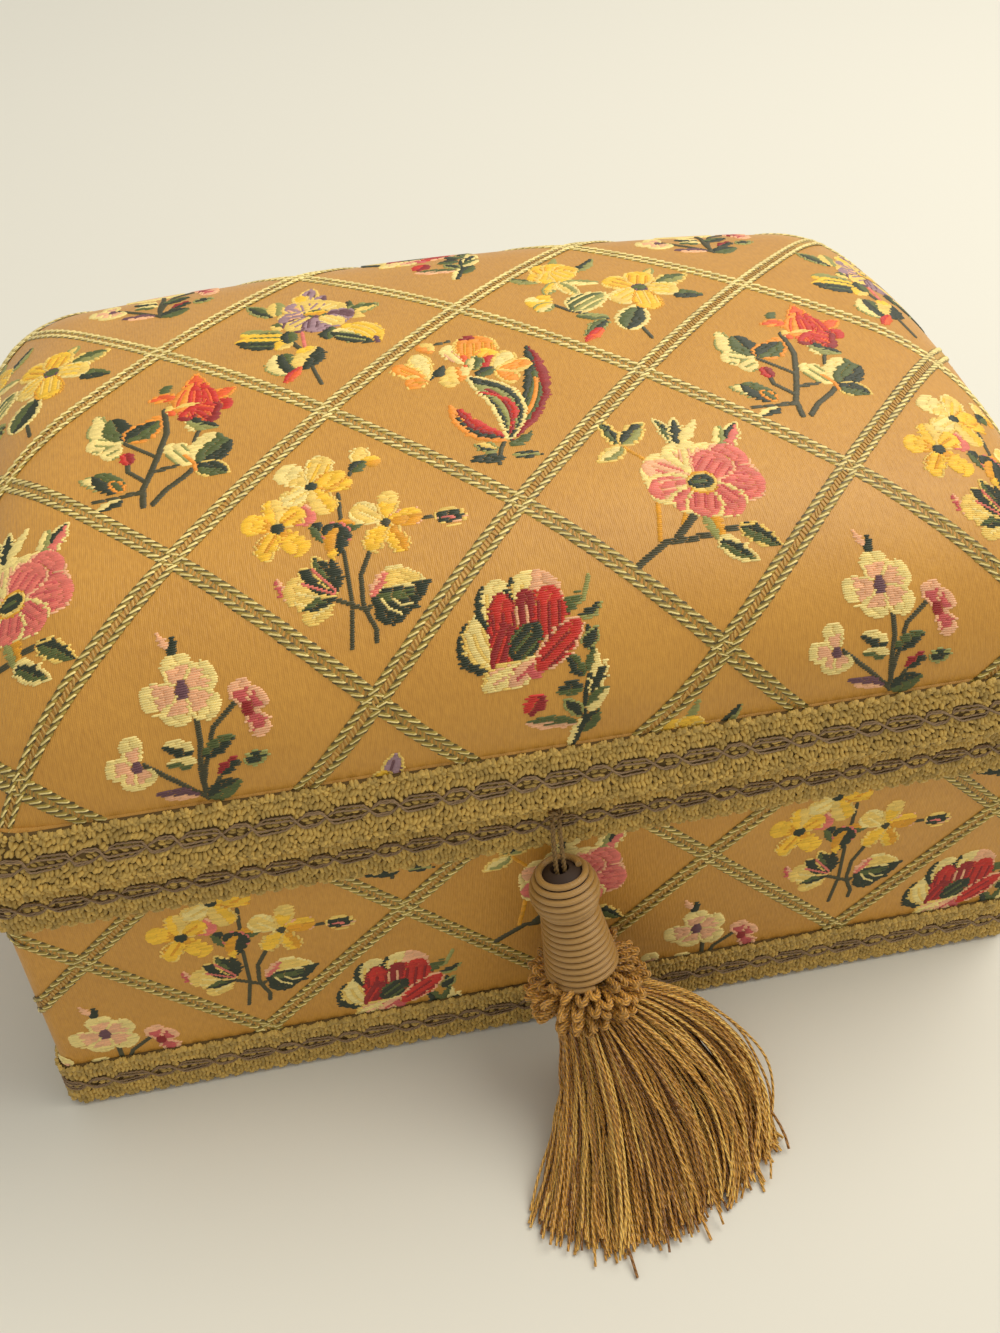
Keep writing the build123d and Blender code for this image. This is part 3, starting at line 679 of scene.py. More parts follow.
# one ply of a rope, from its upper side: place in the period, length, width, rise and silk; the silks go from
# low to light across the ply as its painted shade and highlight, and the darkest stitch after them is painted
# shade in the gap between plies
ropePly = (
    (0.0, 0.86, 1.0, 0.26 * mm, "low"), (0.26, 0.96, 1.0, 0.4 * mm, "middle"),
    (0.52, 0.74, 1.0, 0.5 * mm, "light"), (0.78, 0.96, 1.1, 0.16 * mm, "notchShade"),
)


def laidTrellis(name, cloth, body, seed):
    # two ropes of slanting stitches side by side, each ply painted from shade to highlight and parted by a
    # dark stitch of painted shade, and a filling between them
    rng = np.random.default_rng(seed)
    threads = Threads()
    width, height = cloth["width"], cloth["height"]
    diagonal = math.hypot(width, height)
    for slope, angle, lift, offset, fill in bandWays:

        def along(pitch, shift=0.0):
            step = pitch * height / diagonal
            levels = np.arange(cloth["lowY"], cloth["highY"], step) - shift * step
            lineGrid, yGrid = np.meshgrid(pattern["columns"], levels)
            lineGrid, yGrid = lineGrid.ravel(), yGrid.ravel()
            xGrid = cloth["originX"] + width * (lineGrid + slope * (yGrid - cloth["originY"]) / height)
            near = np.abs(xGrid) < cloth["reachX"]
            return xGrid[near], yGrid[near]

        def lay(x, y, turn, length, stitchWidth, rise, tint):
            tint = np.array(tint) * (trellis["shade"] + trellis["shadeSpread"] * rng.random(x.shape)[:, None])
            length = length * (trellis["lengthShare"] + trellis["lengthSpread"] * rng.random(x.shape))
            layThreads(threads, cloth["onto"], x, y, turn, length, stitchWidth, rise, tint, lift)

        x, y = along(trellis["fillPitch"])
        turn = math.pi / 2 + trellis["fillTurn"] * slope + rng.normal(0, trellis["fillTurnSpread"], x.shape)
        lay(x, y, turn, trellis["fillLength"], trellis["fillWidth"], trellis["fillRise"], fill)
        for side in (-1, 1):
            for shift, length, stitchWidth, rise, silk in ropePly:
                x, y = along(trellis["period"], shift + 0.25 * (side + 1))
                across = x + side * offset * height / diagonal
                high = y - side * slope * offset * width / diagonal
                turn = math.radians(angle) + rng.normal(0, trellis["turnSpread"], x.shape)
                lay(across, high, turn, length * trellis["length"], stitchWidth * trellis["width"], rise,
                    trellis[silk])
    return threads.piece(name, finishes["silk"], body)


laidTrellis("trellis_lid", lidPattern, "lid", 11)
baseTrellis = laidTrellis("trellis_base", basePattern, "base", 12)

# Flowers of the brocade. Each is a list of shapes in millimetres from its diamond's middle,
# the later ones over the earlier ones
silks = {
    "cream": (242, 218, 136), "straw": (238, 202, 102), "yellow": (246, 196, 52), "gold": (226, 160, 30),
    "orange": (240, 152, 44), "flame": (232, 98, 38), "cherry": (204, 48, 32), "crimson": (152, 34, 30),
    "rose": (226, 120, 102), "blush": (240, 182, 134), "mallow": (206, 92, 86), "lilac": (164, 130, 136),
    "plum": (112, 74, 80), "forest": (46, 54, 32), "moss": (88, 98, 46), "sage": (154, 152, 82),
    "bark": (74, 70, 40),
}
(cream, straw, yellow, gold, orange, flame, cherry, crimson, rose, blush, mallow, lilac, plum, forest,
 moss, sage, bark) = range(len(silks))


def leaf(root, tip, width, silk, **more):
    # a petal or leaf from its root to its tip; blunt petals have a small point value. Its half or its
    # stripes are a second silk, and its edge, flush or vein is a silk with a width or a share
    return {"root": root, "tip": tip, "width": width, "silk": silk, **more}


def stem(points, width, silk=bark):
    return {"points": points, "width": width, "silk": silk}


def dot(place, radius, silk=forest, edge=None):
    more = {} if edge is None else {"edge": (edge, 0.6)}
    root, tip = ((place[0] + side * radius, place[1]) for side in (-1, 1))
    return leaf(root, tip, 2 * radius, silk, point=0.5, **more)


def petals(middle, tips, width, silk, **more):
    return [leaf(middle, tip, width, silk, **{"point": 0.4, "start": 0.75, **more}) for tip in tips]


def fivePetals(middle, tips, width, light, deep, eye, eyeSilk=forest):
    # a simple open flower, each petal edged with the lighter silk, its throat deeper
    shapes = petals(middle, tips, width, deep, edge=(light, 0.8), flush=(light, 0.66))
    return shapes + [dot(middle, eye, eyeSilk)]


wildRose = [
    stem([(-8, -3), (-9, -9), (-10, -14)], 1, gold),
    stem([(-3, -8.6), (-4.6, -12), (-6.4, -13.6)], 1, gold),
    stem([(-16.4, -19.4), (-9, -14.8), (-2, -14.4), (6, -13.2), (12, -13.4)], 1.5),
    stem([(-6, -13.8), (-1, -9)], 1.8),
    stem([(-13.4, 14.4), (-8, 8)], 0.8, gold),
    leaf((-12, 12.6), (-15.4, 22.6), 4, moss, half=forest, edge=(straw, 0.7)),
    leaf((-12, 12.8), (-5, 19.8), 5.4, forest, half=sage, edge=(straw, 0.7)),
    leaf((-11.4, 12.2), (-18.6, 8.2), 4.2, sage, half=cream, edge=(straw, 0.7)),
    leaf((1, 9.8), (-3, 20.8), 4, moss, half=forest, edge=(cream, 0.6), bend=-0.6),
    leaf((0.6, 10.6), (2.2, 20.6), 4.2, forest, edge=(cream, 0.7)),
    leaf((1.6, 11.6), (7, 18.6), 2.8, cream),
    leaf((9.4, 8), (16.4, 17), 5, forest, half=rose, edge=(cream, 0.6)),
    leaf((9.6, 8.6), (11.8, 16.6), 2.8, cream, half=sage),
    leaf((1.8, -7), (3.6, -16.4), 4.4, gold, half=sage),
    leaf((8, -12.6), (16.6, -18.4), 5, forest, edge=(straw, 0.6), half=moss),
    leaf((2.4, -15.6), (10.8, -21), 4.6, forest, half=moss, edge=(cream, 0.8)),
    *petals((2.4, 2), [(-2, 11.4), (3, 12), (8.4, 10.4)], 6.6, cream, stripe=blush),
    *petals((2.6, -0.6), [(-9.2, 6)], 10, blush, edge=(cream, 1.6), stripe=rose),
    *petals((2.6, -0.6), [(-9.6, -1.8)], 8.6, rose, edge=(cream, 1.3), stripe=blush),
    *petals((2.6, -0.6), [(-4.4, -7.4)], 6.6, rose, edge=(cream, 1.1), stripe=mallow),
    *petals((2.8, -0.6), [(14.2, 8), (17, -2.4), (9, 7.6)], 10.6, rose, edge=(blush, 0.7), stripe=mallow),
    *petals((2.8, -1), [(10, -9.4), (1.4, -9.8)], 8.6, rose, edge=(cream, 0.8), stripe=mallow),
    dot((2.8, -0.7), 3.5, straw, gold),
    leaf((-0.2, -1), (5.6, -0.4), 4, forest, point=0.5, stripe=moss),
]
yellowFlowers = [
    stem([(-0.8, 10), (-1.2, 3), (-1.7, -4), (-1.8, -12), (-1.8, -18), (-3.2, -27)], 0.9),
    stem([(3.6, -7), (1, -12), (0.5, -18), (1.2, -21), (2.4, -24), (2, -26.5)], 1),
    stem([(-5.4, -16.2), (-2, -18), (0.4, -19.4)], 1),
    stem([(3.4, -18), (0.8, -20)], 0.9),
    stem([(16, -0.4), (19.6, -0.8)], 0.9),
    stem([(2.4, 15.4), (3.8, 18)], 1),
    leaf((4.4, 18), (6.2, 23.6), 4.4, straw, point=0.4, edge=(cream, 0.6)),
    leaf((5, 18.8), (9.8, 18.4), 3.4, yellow, point=0.4, half=gold),
    leaf((2.8, 16.2), (6.4, 19.4), 3, forest, half=moss),
    leaf((18.4, -0.6), (26, -1.8), 4.8, forest, point=0.7, half=blush, edge=(straw, 0.6)),
    leaf((19, -1.4), (24.4, -1.8), 2.6, forest, stripe=rose),
    leaf((-3, 1.2), (3.2, 0.4), 3.4, gold, half=moss),
    leaf((-7.6, 2.6), (-2.8, -3), 4.6, forest, half=moss, point=0.6),
    leaf((-5.6, 1.2), (0.6, -2.8), 5.6, forest, edge=(rose, 0.5), point=0.7),
    leaf((-2, 0.6), (-4, -7.2), 5, forest, half=gold, point=0.8),
    leaf((-4.6, -7.8), (-3.6, -4.6), 1.5, yellow),
    leaf((-15.2, -15), (-16.8, -9), 1.6, mallow, half=blush),
    leaf((-5, -16), (-15.6, -12.6), 7.4, straw, point=0.5, stripe=cream),
    leaf((-5.6, -16.6), (-12.2, -20.2), 4.8, straw, point=0.5, stripe=cream),
    leaf((-4.4, -15.8), (-12.6, -17.6), 2.6, forest, half=moss),
    leaf((-4, -15), (-12, -8.4), 6.2, forest, edge=(straw, 0.5)),
    leaf((-3.8, -14.4), (-8.6, -5.8), 5, moss, half=forest, edge=(straw, 0.5)),
    leaf((-4.2, -14.2), (-4.6, -7), 3.4, forest),
    stem([(-4.8, -14.4), (-8.8, -9)], 0.6, rose),
    stem([(-5, -15.2), (-11.4, -11.8)], 0.6, rose),
    leaf((3, -18.8), (8.6, -22.8), 6.4, forest, point=0.6),
    leaf((2.4, -19), (15.4, -15.4), 9.2, forest, point=1),
    leaf((3, -15), (14.2, -15.2), 5.2, straw, bend=1.4, point=0.9, edge=(cream, 0.5)),
    leaf((3.4, -17.2), (11.8, -17.4), 3, forest, half=moss),
    stem([(4.4, -18), (5.6, -20.2), (8, -21.6)], 0.55, cream),
    stem([(6.6, -18.2), (8.2, -19.8), (10.6, -20)], 0.55, cream),
    leaf((2.2, -17), (6.6, -11.4), 2.6, blush, half=rose),
    leaf((-12.6, 9.8), (-7, 3.2), 6.2, rose, point=0.5, stripe=blush),
    *petals((-6.3, 13.5), [(-13.2, 9.2)], 5.8, cream, edge=(straw, 0.5), stripe=straw),
    *petals((-6.3, 13.5), [(-12.6, 20.8)], 6.6, straw, edge=(cream, 0.6), flush=(cream, 0.5)),
    *petals((-6.3, 13.5), [(-2.4, 22.6)], 6.2, straw, edge=(cream, 0.5), stripe=yellow),
    *petals((-6.3, 13.5), [(-3, 5)], 6.2, yellow, half=straw, edge=(straw, 0.5)),
    *petals((-6.3, 13.5), [(2.8, 12.8), (1.6, 16.4)], 4.8, yellow, edge=(gold, 0.4)),
    dot((-6.3, 13.5), 1.4),
    *petals((-14.8, 3), [(-15.4, 11.6)], 4.6, yellow, half=straw, edge=(straw, 0.4)),
    *petals((-14.8, 3), [(-22.2, 6.4)], 5.8, gold, flush=(yellow, 0.35), edge=(yellow, 0.6)),
    *petals((-14.8, 3), [(-19.2, -4.6), (-8.8, 7.6)], 5.2, yellow, edge=(straw, 0.4), stripe=gold),
    *petals((-14.8, 3), [(-9.6, -4.6)], 5.2, gold, flush=(yellow, 0.3), edge=(yellow, 0.6)),
    dot((-14.8, 3), 1.6),
    *petals((8.1, 0), [(1.4, 5.4)], 6.2, straw, edge=(cream, 0.9), stripe=cream),
    *petals((8.1, 0), [(10.2, 8.8)], 4.8, yellow, half=yellow, flush=(straw, 0.6), edge=(straw, 0.6)),
    *petals((8.1, 0), [(16.2, 1)], 5.2, yellow, half=gold, edge=(blush, 0.35)),
    *petals((8.1, 0), [(11, -8.2)], 4.8, gold, half=yellow, edge=(straw, 0.5)),
    *petals((8.1, 0), [(3.4, -6.8)], 4.8, yellow, edge=(straw, 0.6)),
    dot((8.1, 0), 1.2, bark),
]
iris = [
    stem([(-11, 20.6), (-5, 21.6)], 0.8),
    leaf((-9.4, 17.6), (-12.8, 21.6), 4.4, orange, half=straw, point=0.4),
    stem([(2, -14), (0.6, -19), (-1, -22), (-2.2, -26.6)], 1),
    leaf((1.6, -19.6), (12.8, 15.4), 6.2, forest, bend=-4.2, half=crimson, point=0.6),
    leaf((2.6, -16.4), (12.4, 5.6), 3, moss, bend=-2.6, vein=(orange, 1.1), point=0.7),
    leaf((1, -19.4), (-9.8, -4), 5.6, orange, bend=2.4, point=0.9),
    leaf((1.4, -18.4), (-8, -5.8), 3.4, crimson, bend=1.9, half=cherry, point=0.8),
    leaf((1.2, -18.6), (-9, -7.6), 1.4, forest, bend=2.8),
    leaf((1.6, -19.4), (-3.6, 5.2), 8.6, forest, bend=-4.6, point=0.55, edge=(cream, 1)),
    leaf((2, -17.6), (-2.8, 2), 4.4, sage, bend=-3.9, point=0.5, vein=(crimson, 1.2)),
    leaf((2, -16), (-2, -1.4), 1.6, cherry, bend=-4.8, point=0.5),
    leaf((1, -21), (7.4, -17), 2.4, moss, bend=-0.8),
    leaf((-1.8, -22.4), (-6.6, -19), 3.8, forest, half=straw, edge=(sage, 0.6)),
    leaf((-0.4, -24.6), (-9, -24), 2.2, forest),
    leaf((1, -24.4), (8.4, -25), 2.4, forest, vein=(sage, 0.7)),
    leaf((-12, 6), (-13.4, 12), 4, forest),
    leaf((-10.6, 6.4), (-8, 11.4), 3, forest),
    *petals((-12.4, 6.2), [(-14, 17.4)], 5.6, cream, edge=(straw, 0.6)),
    *petals((-12.6, 5.8), [(-20.2, 13.4), (-18.4, 5.6)], 5.4, orange, edge=(straw, 0.6), stripe=gold),
    *petals((-3, 7.4), [(-10, 3.4), (-8.4, 7.4)], 4.6, orange, flush=(straw, 0.5)),
    *petals((-1.6, 9.6), [(-6.4, 19.6)], 6.4, cream, stripe=blush),
    *petals((-0.4, 9.8), [(1.2, 22.6)], 11, orange, edge=(straw, 0.7), stripe=gold),
    *petals((-0.4, 9.6), [(4.6, 15.4)], 6.2, yellow, stripe=orange),
    leaf((-2.6, 21.4), (1.4, 22.6), 2, crimson),
    leaf((-2, 8), (-3, 14.4), 2.4, flame, point=0.6),
    leaf((0.4, 8.2), (4.4, 12.6), 3.4, cherry, point=0.5),
    *petals((2.6, 6), [(8.6, 13.6)], 5.6, cream, edge=(straw, 0.8)),
    *petals((3, 6.4), [(12.6, 8.4), (8, 1.6)], 5, orange, edge=(straw, 0.8)),
    leaf((-1.2, 5), (3.4, 8.2), 3.6, forest, half=moss),
    leaf((-1.8, 7.6), (0.2, 13.4), 4.2, cream, half=moss, point=0.45, edge=(sage, 0.5)),
    leaf((-4.4, 5.8), (-2.8, 9), 2.6, cream, point=0.4),
]
redLily = [
    stem([(0.8, 10.6), (1, 2), (-1, -5), (-3.4, -12), (-5, -16), (-5.2, -21.4)], 1.5),
    stem([(-3, -21.2), (0, -17.6), (4, -14.6), (7, -11.8)], 1.4),
    stem([(-1.8, -6), (-9.6, 1.6)], 1),
    stem([(-2.6, -11), (1, -10.6), (3.4, -10)], 1.1),
    stem([(-4.6, -13.6), (-8.2, -9.4), (-8.2, -5)], 1.1),
    stem([(-5.2, -17), (-16, -17.2)], 1.1),
    stem([(7, -3.4), (8.6, 1.6)], 1),
    leaf((-7.8, -7), (-8.6, -2.8), 3.4, cherry, half=crimson, point=0.5),
    leaf((-9.4, 0.4), (-15.2, 13.8), 7.4, cream, bend=1.6, edge=(sage, 0.5)),
    leaf((-9.6, 0.2), (-17.4, 3), 6.2, cream, stripe=sage, point=0.5),
    leaf((-9.4, 0), (-14, -3), 4.6, cream, stripe=sage, point=0.5),
    leaf((-9.4, 1.8), (-11.4, 11.4), 6.4, moss, half=forest, point=0.6),
    leaf((-8.8, 1.6), (0.2, 8.6), 7.2, forest, half=moss, edge=(orange, 0.8), bend=-0.8),
    leaf((5.6, 5.4), (7.4, 0.4), 2.4, cream),
    leaf((5.8, 5.2), (13, 0.4), 4.4, forest, half=sage),
    leaf((6.6, -11), (1, -2.4), 5.8, cream, point=0.5, stripe=sage),
    leaf((6.8, -11), (12.6, -1.4), 7.6, cream, half=moss, point=0.5),
    leaf((7, -11.2), (15.4, -4.6), 6.6, moss, half=forest, point=0.6),
    leaf((7, -11.6), (14.4, -15.6), 5.8, forest, half=moss, edge=(straw, 0.6)),
    stem([(6.8, -13), (6.6, -10.6), (4.6, -7.4)], 0.9, orange),
    leaf((-10, -14), (-19.4, -9.6), 5.4, cream, edge=(sage, 0.6), bend=-0.6),
    leaf((-9.4, -15.4), (-16, -8.6), 5.8, forest, half=moss, point=0.6),
    leaf((-9.4, -15.6), (-12.4, -11), 3, moss, edge=(orange, 0.7)),
    leaf((-9.6, -18.4), (-15.6, -20.4), 2.8, forest, half=cream),
    leaf((0.4, 17.6), (3.4, 21.4), 2.6, moss, bend=0.8),
    *petals((5, 14), [(-3, 15.8)], 3.8, flame, edge=(orange, 0.7), point=0.8, bend=-1),
    *petals((10, 12), [(18, 15.4)], 4.2, flame, edge=(orange, 0.7), point=0.8),
    *petals((8.2, 12), [(16.6, 8.4)], 4.8, cherry, stripe=flame),
    *petals((7, 12), [(1, 9.6)], 4.2, flame, half=straw),
    leaf((7.8, 8), (8.8, 24.6), 7.2, flame, point=0.8, edge=(orange, 0.6), stripe=cherry),
    leaf((4, 8), (8.2, 20.6), 3.6, orange, bend=1.2, stripe=flame),
    leaf((7.6, 6.6), (8.4, 20), 3.2, cherry, point=0.7, stripe=flame),
    leaf((12, 7.6), (9.6, 19.6), 3.2, cherry, bend=-1, stripe=flame),
    leaf((2.6, 10.4), (10.4, 10.8), 2.6, straw, half=orange),
    *petals((7.6, 10.6), [(4.6, 5.4), (9, 6), (12.6, 3.6), (14, 7.6)], 4.4, cherry, stripe=flame,
            flush=(crimson, 0.7)),
]
narcissus = [
    stem([(-13.6, -4), (-10.4, -8), (-4.4, -11.8), (-2, -14)], 1),
    stem([(4.8, -17), (6.2, -24.8)], 1),
    stem([(-6, 2), (-3, -4)], 0.8, sage),
    leaf((-14.4, 10.6), (-22.6, 14.6), 3.2, sage, half=moss),
    leaf((-9, 20), (-6, 28), 2.2, sage),
    leaf((-3.4, 15.6), (3.6, 24.6), 3.2, forest, half=sage, bend=-0.6),
    *petals((-9.4, 12.6), [(-16.4, 15), (-12.4, 22.6), (-7.4, 23), (-3.6, 20)], 7, yellow, edge=(straw,
            0.6), stripe=gold),
    *petals((-9.4, 18), [(-12.6, 9.6), (-7.4, 9.4), (-4.6, 12)], 5.6, yellow, edge=(straw, 0.6),
            stripe=straw),
    leaf((-10, 9.6), (-14.4, 2.2), 3.8, straw, half=yellow, edge=(sage, 0.6)),
    leaf((-9.4, 9.4), (-6, -0.6), 4.6, sage, half=straw, edge=(cream, 0.6)),
    leaf((-8.4, 9.4), (1.4, 7), 3.4, sage, half=cream),
    leaf((-13.4, -2), (-20.4, -0.6), 6.2, yellow, half=cream, point=0.5),
    leaf((-13.6, -3), (-18.8, -6.4), 4.4, cream, half=yellow, point=0.5, edge=(sage, 0.6)),
    leaf((-13.4, -1.4), (-16.6, 1.8), 3.4, yellow, point=0.5),
    leaf((-10, -8.4), (1.2, 0.4), 9.2, moss, half=sage, edge=(cream, 0.8), stripe=cream, bend=0.8),
    leaf((-1.6, -13.4), (-9.6, -11), 3, moss, half=sage),
    leaf((-2.4, -14), (-9.8, -22), 4.2, forest, half=moss, edge=(sage, 0.5)),
    leaf((-4.4, -18.4), (-10.4, -24), 3, flame, half=cherry),
    leaf((1, -20), (8, -8), 8.6, moss, half=forest, edge=(cream, 1)),
    leaf((13, 7), (17.4, 14.4), 3.2, straw, edge=(sage, 0.6)),
    leaf((15.6, 4), (25.4, 8), 6.2, moss, half=sage, edge=(straw, 0.7)),
    leaf((17.6, -3), (25.6, -5), 5, moss, half=forest),
    *petals((10.4, 1.6), [(2.6, 8.4), (13, 12)], 8, yellow, edge=(straw, 0.8), stripe=gold),
    *petals((10.4, 1.4), [(20.4, -0.6), (2, -5.6)], 8, straw, edge=(cream, 0.8), stripe=yellow),
    *petals((10.4, 1.2), [(10.4, -11)], 7.6, yellow, edge=(gold, 0.6), stripe=straw),
    dot((10.5, 1.6), 2.2, moss, plum),
]
pansy = [
    stem([(-2, -2), (-2, -9)], 0.9, rose),
    stem([(-5, -6), (-3.4, -9.6)], 1.3),
    stem([(-1.6, -17), (-0.8, -22), (0.2, -27.4)], 1),
    leaf((-8.2, 10), (-15, 20), 5, forest, half=moss, edge=(sage, 0.6)),
    leaf((-7.8, 10.4), (-7, 19.6), 5, straw, half=sage, point=0.7),
    leaf((9.4, 6.6), (11.6, 13.6), 3.4, forest, half=moss),
    leaf((10, 6.4), (18.6, 9.4), 5.6, moss, half=straw, edge=(sage, 0.6)),
    leaf((9.6, 6), (14.4, 2.6), 3.2, straw),
    leaf((-6.6, -1), (-17.4, 2.6), 4.4, yellow, half=sage, point=0.6),
    leaf((-5.4, -5), (-19, -1.6), 8.8, forest, half=yellow, point=0.8, stripe=moss),
    leaf((-5.2, -4), (-9, -9.4), 4.4, straw, half=yellow),
    leaf((-6, 2.8), (-9.6, 4.6), 4.6, straw, half=moss),
    leaf((-5.8, -6.6), (-5, 0.6), 4.4, forest, half=moss),
    leaf((3.6, -7), (5.4, 0), 4.6, forest, half=moss),
    leaf((5, -3.6), (17, -10.6), 8, cream, half=forest, stripe=sage, point=0.6),
    leaf((8, -1), (16.4, -11.6), 6.2, yellow, bend=2.4, point=0.55, stripe=straw),
    leaf((15.4, -9), (15.8, -12.6), 1.6, plum),
    leaf((-4, -21.4), (-10, -11.6), 6.6, cream, bend=2.2, point=0.5, edge=(sage, 0.5)),
    leaf((-5.4, -21.6), (-7.6, -11.4), 5.4, forest, point=0.5, half=moss),
    leaf((-4.6, -20), (1, -10.4), 7.6, straw, half=forest, point=0.5),
    leaf((-4.4, -12), (0.4, -10), 2.4, yellow),
    leaf((-8.2, -24.6), (-3.6, -18.6), 2.8, cherry, half=flame),
    leaf((0.4, 17), (3, 26.6), 5.2, lilac, edge=(straw, 0.6), stripe=plum),
    leaf((-1.6, 17), (0.2, 21.6), 4.8, yellow, point=0.5, edge=(straw, 0.6)),
    leaf((3, 16.4), (6, 19.6), 3.2, lilac, half=plum),
    *petals((2.4, 8), [(-4.4, 16.4), (-7.4, 6.4)], 8, lilac, edge=(straw, 0.9), stripe=blush),
    *petals((2.4, 8), [(1.2, 17.6), (6.4, 15.6)], 7.6, straw, stripe=lilac),
    *petals((2.6, 7.4), [(10, 12.6)], 6.2, straw, stripe=cream),
    *petals((2.6, 7), [(12, 5)], 6.8, plum, edge=(lilac, 0.9)),
    *petals((2.4, 7), [(-5.6, 0.4)], 7.6, straw, edge=(plum, 0.7), stripe=lilac),
    *petals((2.4, 6.6), [(1.4, -2.4)], 7.4, lilac, edge=(plum, 0.5), stripe=plum),
    *petals((2.6, 6.6), [(8.6, 0)], 6.4, straw, edge=(lilac, 0.7), stripe=cream),
    leaf((-1, 8.6), (5.6, 8.2), 4.2, yellow, half=gold, point=0.5, edge=(moss, 0.5)),
    dot((2.2, 6.6), 1, plum),
]
tulip = [
    stem([(8.6, 8), (9, 2), (6.6, -5), (5.6, -12), (3, -18.6)], 1.1, forest),
    stem([(4.6, 12), (8.6, 14), (10.6, 18.6)], 1, sage),
    leaf((6.4, 10.4), (12.6, 13), 2.4, forest, bend=-0.8, half=sage),
    leaf((3.6, 11.6), (8.4, 15.8), 3, moss),
    leaf((7, 4), (11, 8), 3.4, forest, edge=(sage, 0.5)),
    leaf((8, -1.4), (9.6, 3.6), 3.2, moss, half=cream),
    leaf((7.4, -6), (11.8, 1), 3.4, forest, edge=(cream, 0.6)),
    leaf((6.4, -9.4), (11.6, -4.8), 3.4, moss, half=cream),
    leaf((5.6, -10.6), (1.4, -6), 3.4, forest, edge=(sage, 0.6)),
    leaf((6.2, -4), (0, -4.4), 3.2, moss, half=forest),
    leaf((6.4, -2), (3.4, 4), 3, forest, half=moss),
    leaf((4.6, -15), (9.4, -9.6), 4, forest, half=moss),
    leaf((4.4, -12.6), (-7, -10.6), 3.6, blush, half=moss),
    leaf((2.6, -19.4), (5.6, -11), 2.6, cream, half=forest),
    leaf((-6.6, -8.6), (-2.6, -4.4), 4.6, cherry, half=crimson, point=0.5),
    leaf((-8.4, 2), (-14.4, 14.2), 12.2, forest, bend=2.6, point=0.45, start=0.5),
    leaf((-7.6, 2.4), (-13, 15), 11.4, cream, bend=2.4, point=0.45, stripe=straw, edge=(straw, 0.6)),
    leaf((-10.6, 9), (-10.4, 19.8), 8, forest, point=0.45),
    leaf((-9.8, 9), (-8.8, 20.6), 7.6, cream, point=0.45, stripe=straw),
    leaf((-3.4, 9), (-2.4, 21.2), 9.8, forest, point=0.42),
    leaf((-2.4, 9), (-1, 21.8), 9.8, cream, point=0.42, half=blush, stripe=straw),
    leaf((0.6, 8), (1.2, 20.4), 7.2, blush, point=0.45, stripe=cherry, edge=(blush, 0.6)),
    leaf((-8.8, 1.4), (-8.6, 17.6), 7.2, cherry, point=0.5, stripe=crimson, edge=(crimson, 0.5)),
    leaf((-12, 1.6), (-7.6, 11), 5.6, crimson, point=0.5, stripe=cherry),
    leaf((-3.6, 4.6), (-3.4, 17.8), 5.4, crimson, point=0.5, stripe=blush),
    leaf((0.4, 4.6), (1.8, 18), 6.8, cherry, point=0.45, stripe=crimson),
    leaf((-8.4, 3.8), (-1.4, 10.4), 5.8, forest, stripe=moss, point=0.6),
    leaf((-3.4, 3), (3.8, 7.6), 2.6, blush),
    leaf((-5.6, 2.4), (-15.4, -1.6), 5.6, cream, edge=(straw, 0.7), point=0.5, stripe=blush),
    leaf((-2.8, 3.4), (-9.8, -1.8), 4.6, blush, edge=(cream, 0.6), point=0.5, stripe=mallow),
    leaf((-2, 2.4), (-5, -0.6), 3.2, mallow, point=0.5),
    leaf((-3.6, 0.8), (7.6, 10), 6.2, cherry, point=0.55, edge=(blush, 0.5), stripe=crimson),
]
pinkSpray = [
    stem([(1, 5), (1, -1), (0, -8), (0.4, -14.6)], 1.2),
    stem([(9, 5), (4, 1), (2, -4), (0.4, -10)], 1),
    stem([(-11, -4), (-5, -9), (0, -14)], 1.1),
    stem([(8, -7.4), (4, -9), (1.4, -14)], 1),
    leaf((-0.6, -3), (-7, -0.6), 3.6, forest, half=cream),
    leaf((-0.4, -5.4), (-6.6, -4.8), 3, moss, half=cream),
    leaf((0.6, -4.6), (8.4, -1.4), 3.8, moss, half=forest),
    leaf((3.6, -9.4), (8.2, -5.6), 3, crimson, half=forest),
    leaf((8.8, -7.4), (14.8, -6.6), 3.6, forest, edge=(sage, 0.6)),
    leaf((0.4, -14.6), (8, -11.4), 5.2, forest, half=moss),
    leaf((-1, -13.4), (-10, -11), 3.6, blush, half=plum),
    leaf((-2.4, 16.6), (-1.6, 20.6), 2.6, forest),
    leaf((-2.8, 18), (-4.8, 22), 2, blush),
    leaf((-2, 17), (-2, 13), 4.6, straw, half=blush, point=0.5),
    *fivePetals((-1.2, 9.4), [(-1.8, 17), (6, 12.6), (5.6, 3.8), (-4, 2.8), (-9.8, 8.6)], 6.6, cream,
                blush, 1.6, plum),
    *fivePetals((11.4, 3.4), [(10, 9.4), (15.4, 6), (14.6, -2.4)], 4.8, blush, mallow, 1.3, crimson),
    *fivePetals((-12.6, -4.2), [(-13.4, 2.4), (-19, -3.6), (-14.8, -8.8), (-10.4, -8.4)], 5, cream,
                blush, 1.3, plum),
]


# Weaving: the shapes become rows of floating threads
weave = {
    "row": 0.48, "sample": 0.15, "left": -27.0, "right": 27.0, "low": -29.0, "high": 29.0,
    "longest": 3.4, "shortest": 0.34, "ragged": 0.24, "halfRagged": 0.25, "flushRagged": 0.05,
    "stripePitch": 2.2, "stripeLean": 1.5, "stripeFrom": 0.15, "stripeTo": 0.75, "stripeCut": 0.62,
    "veinTo": 0.85,
}


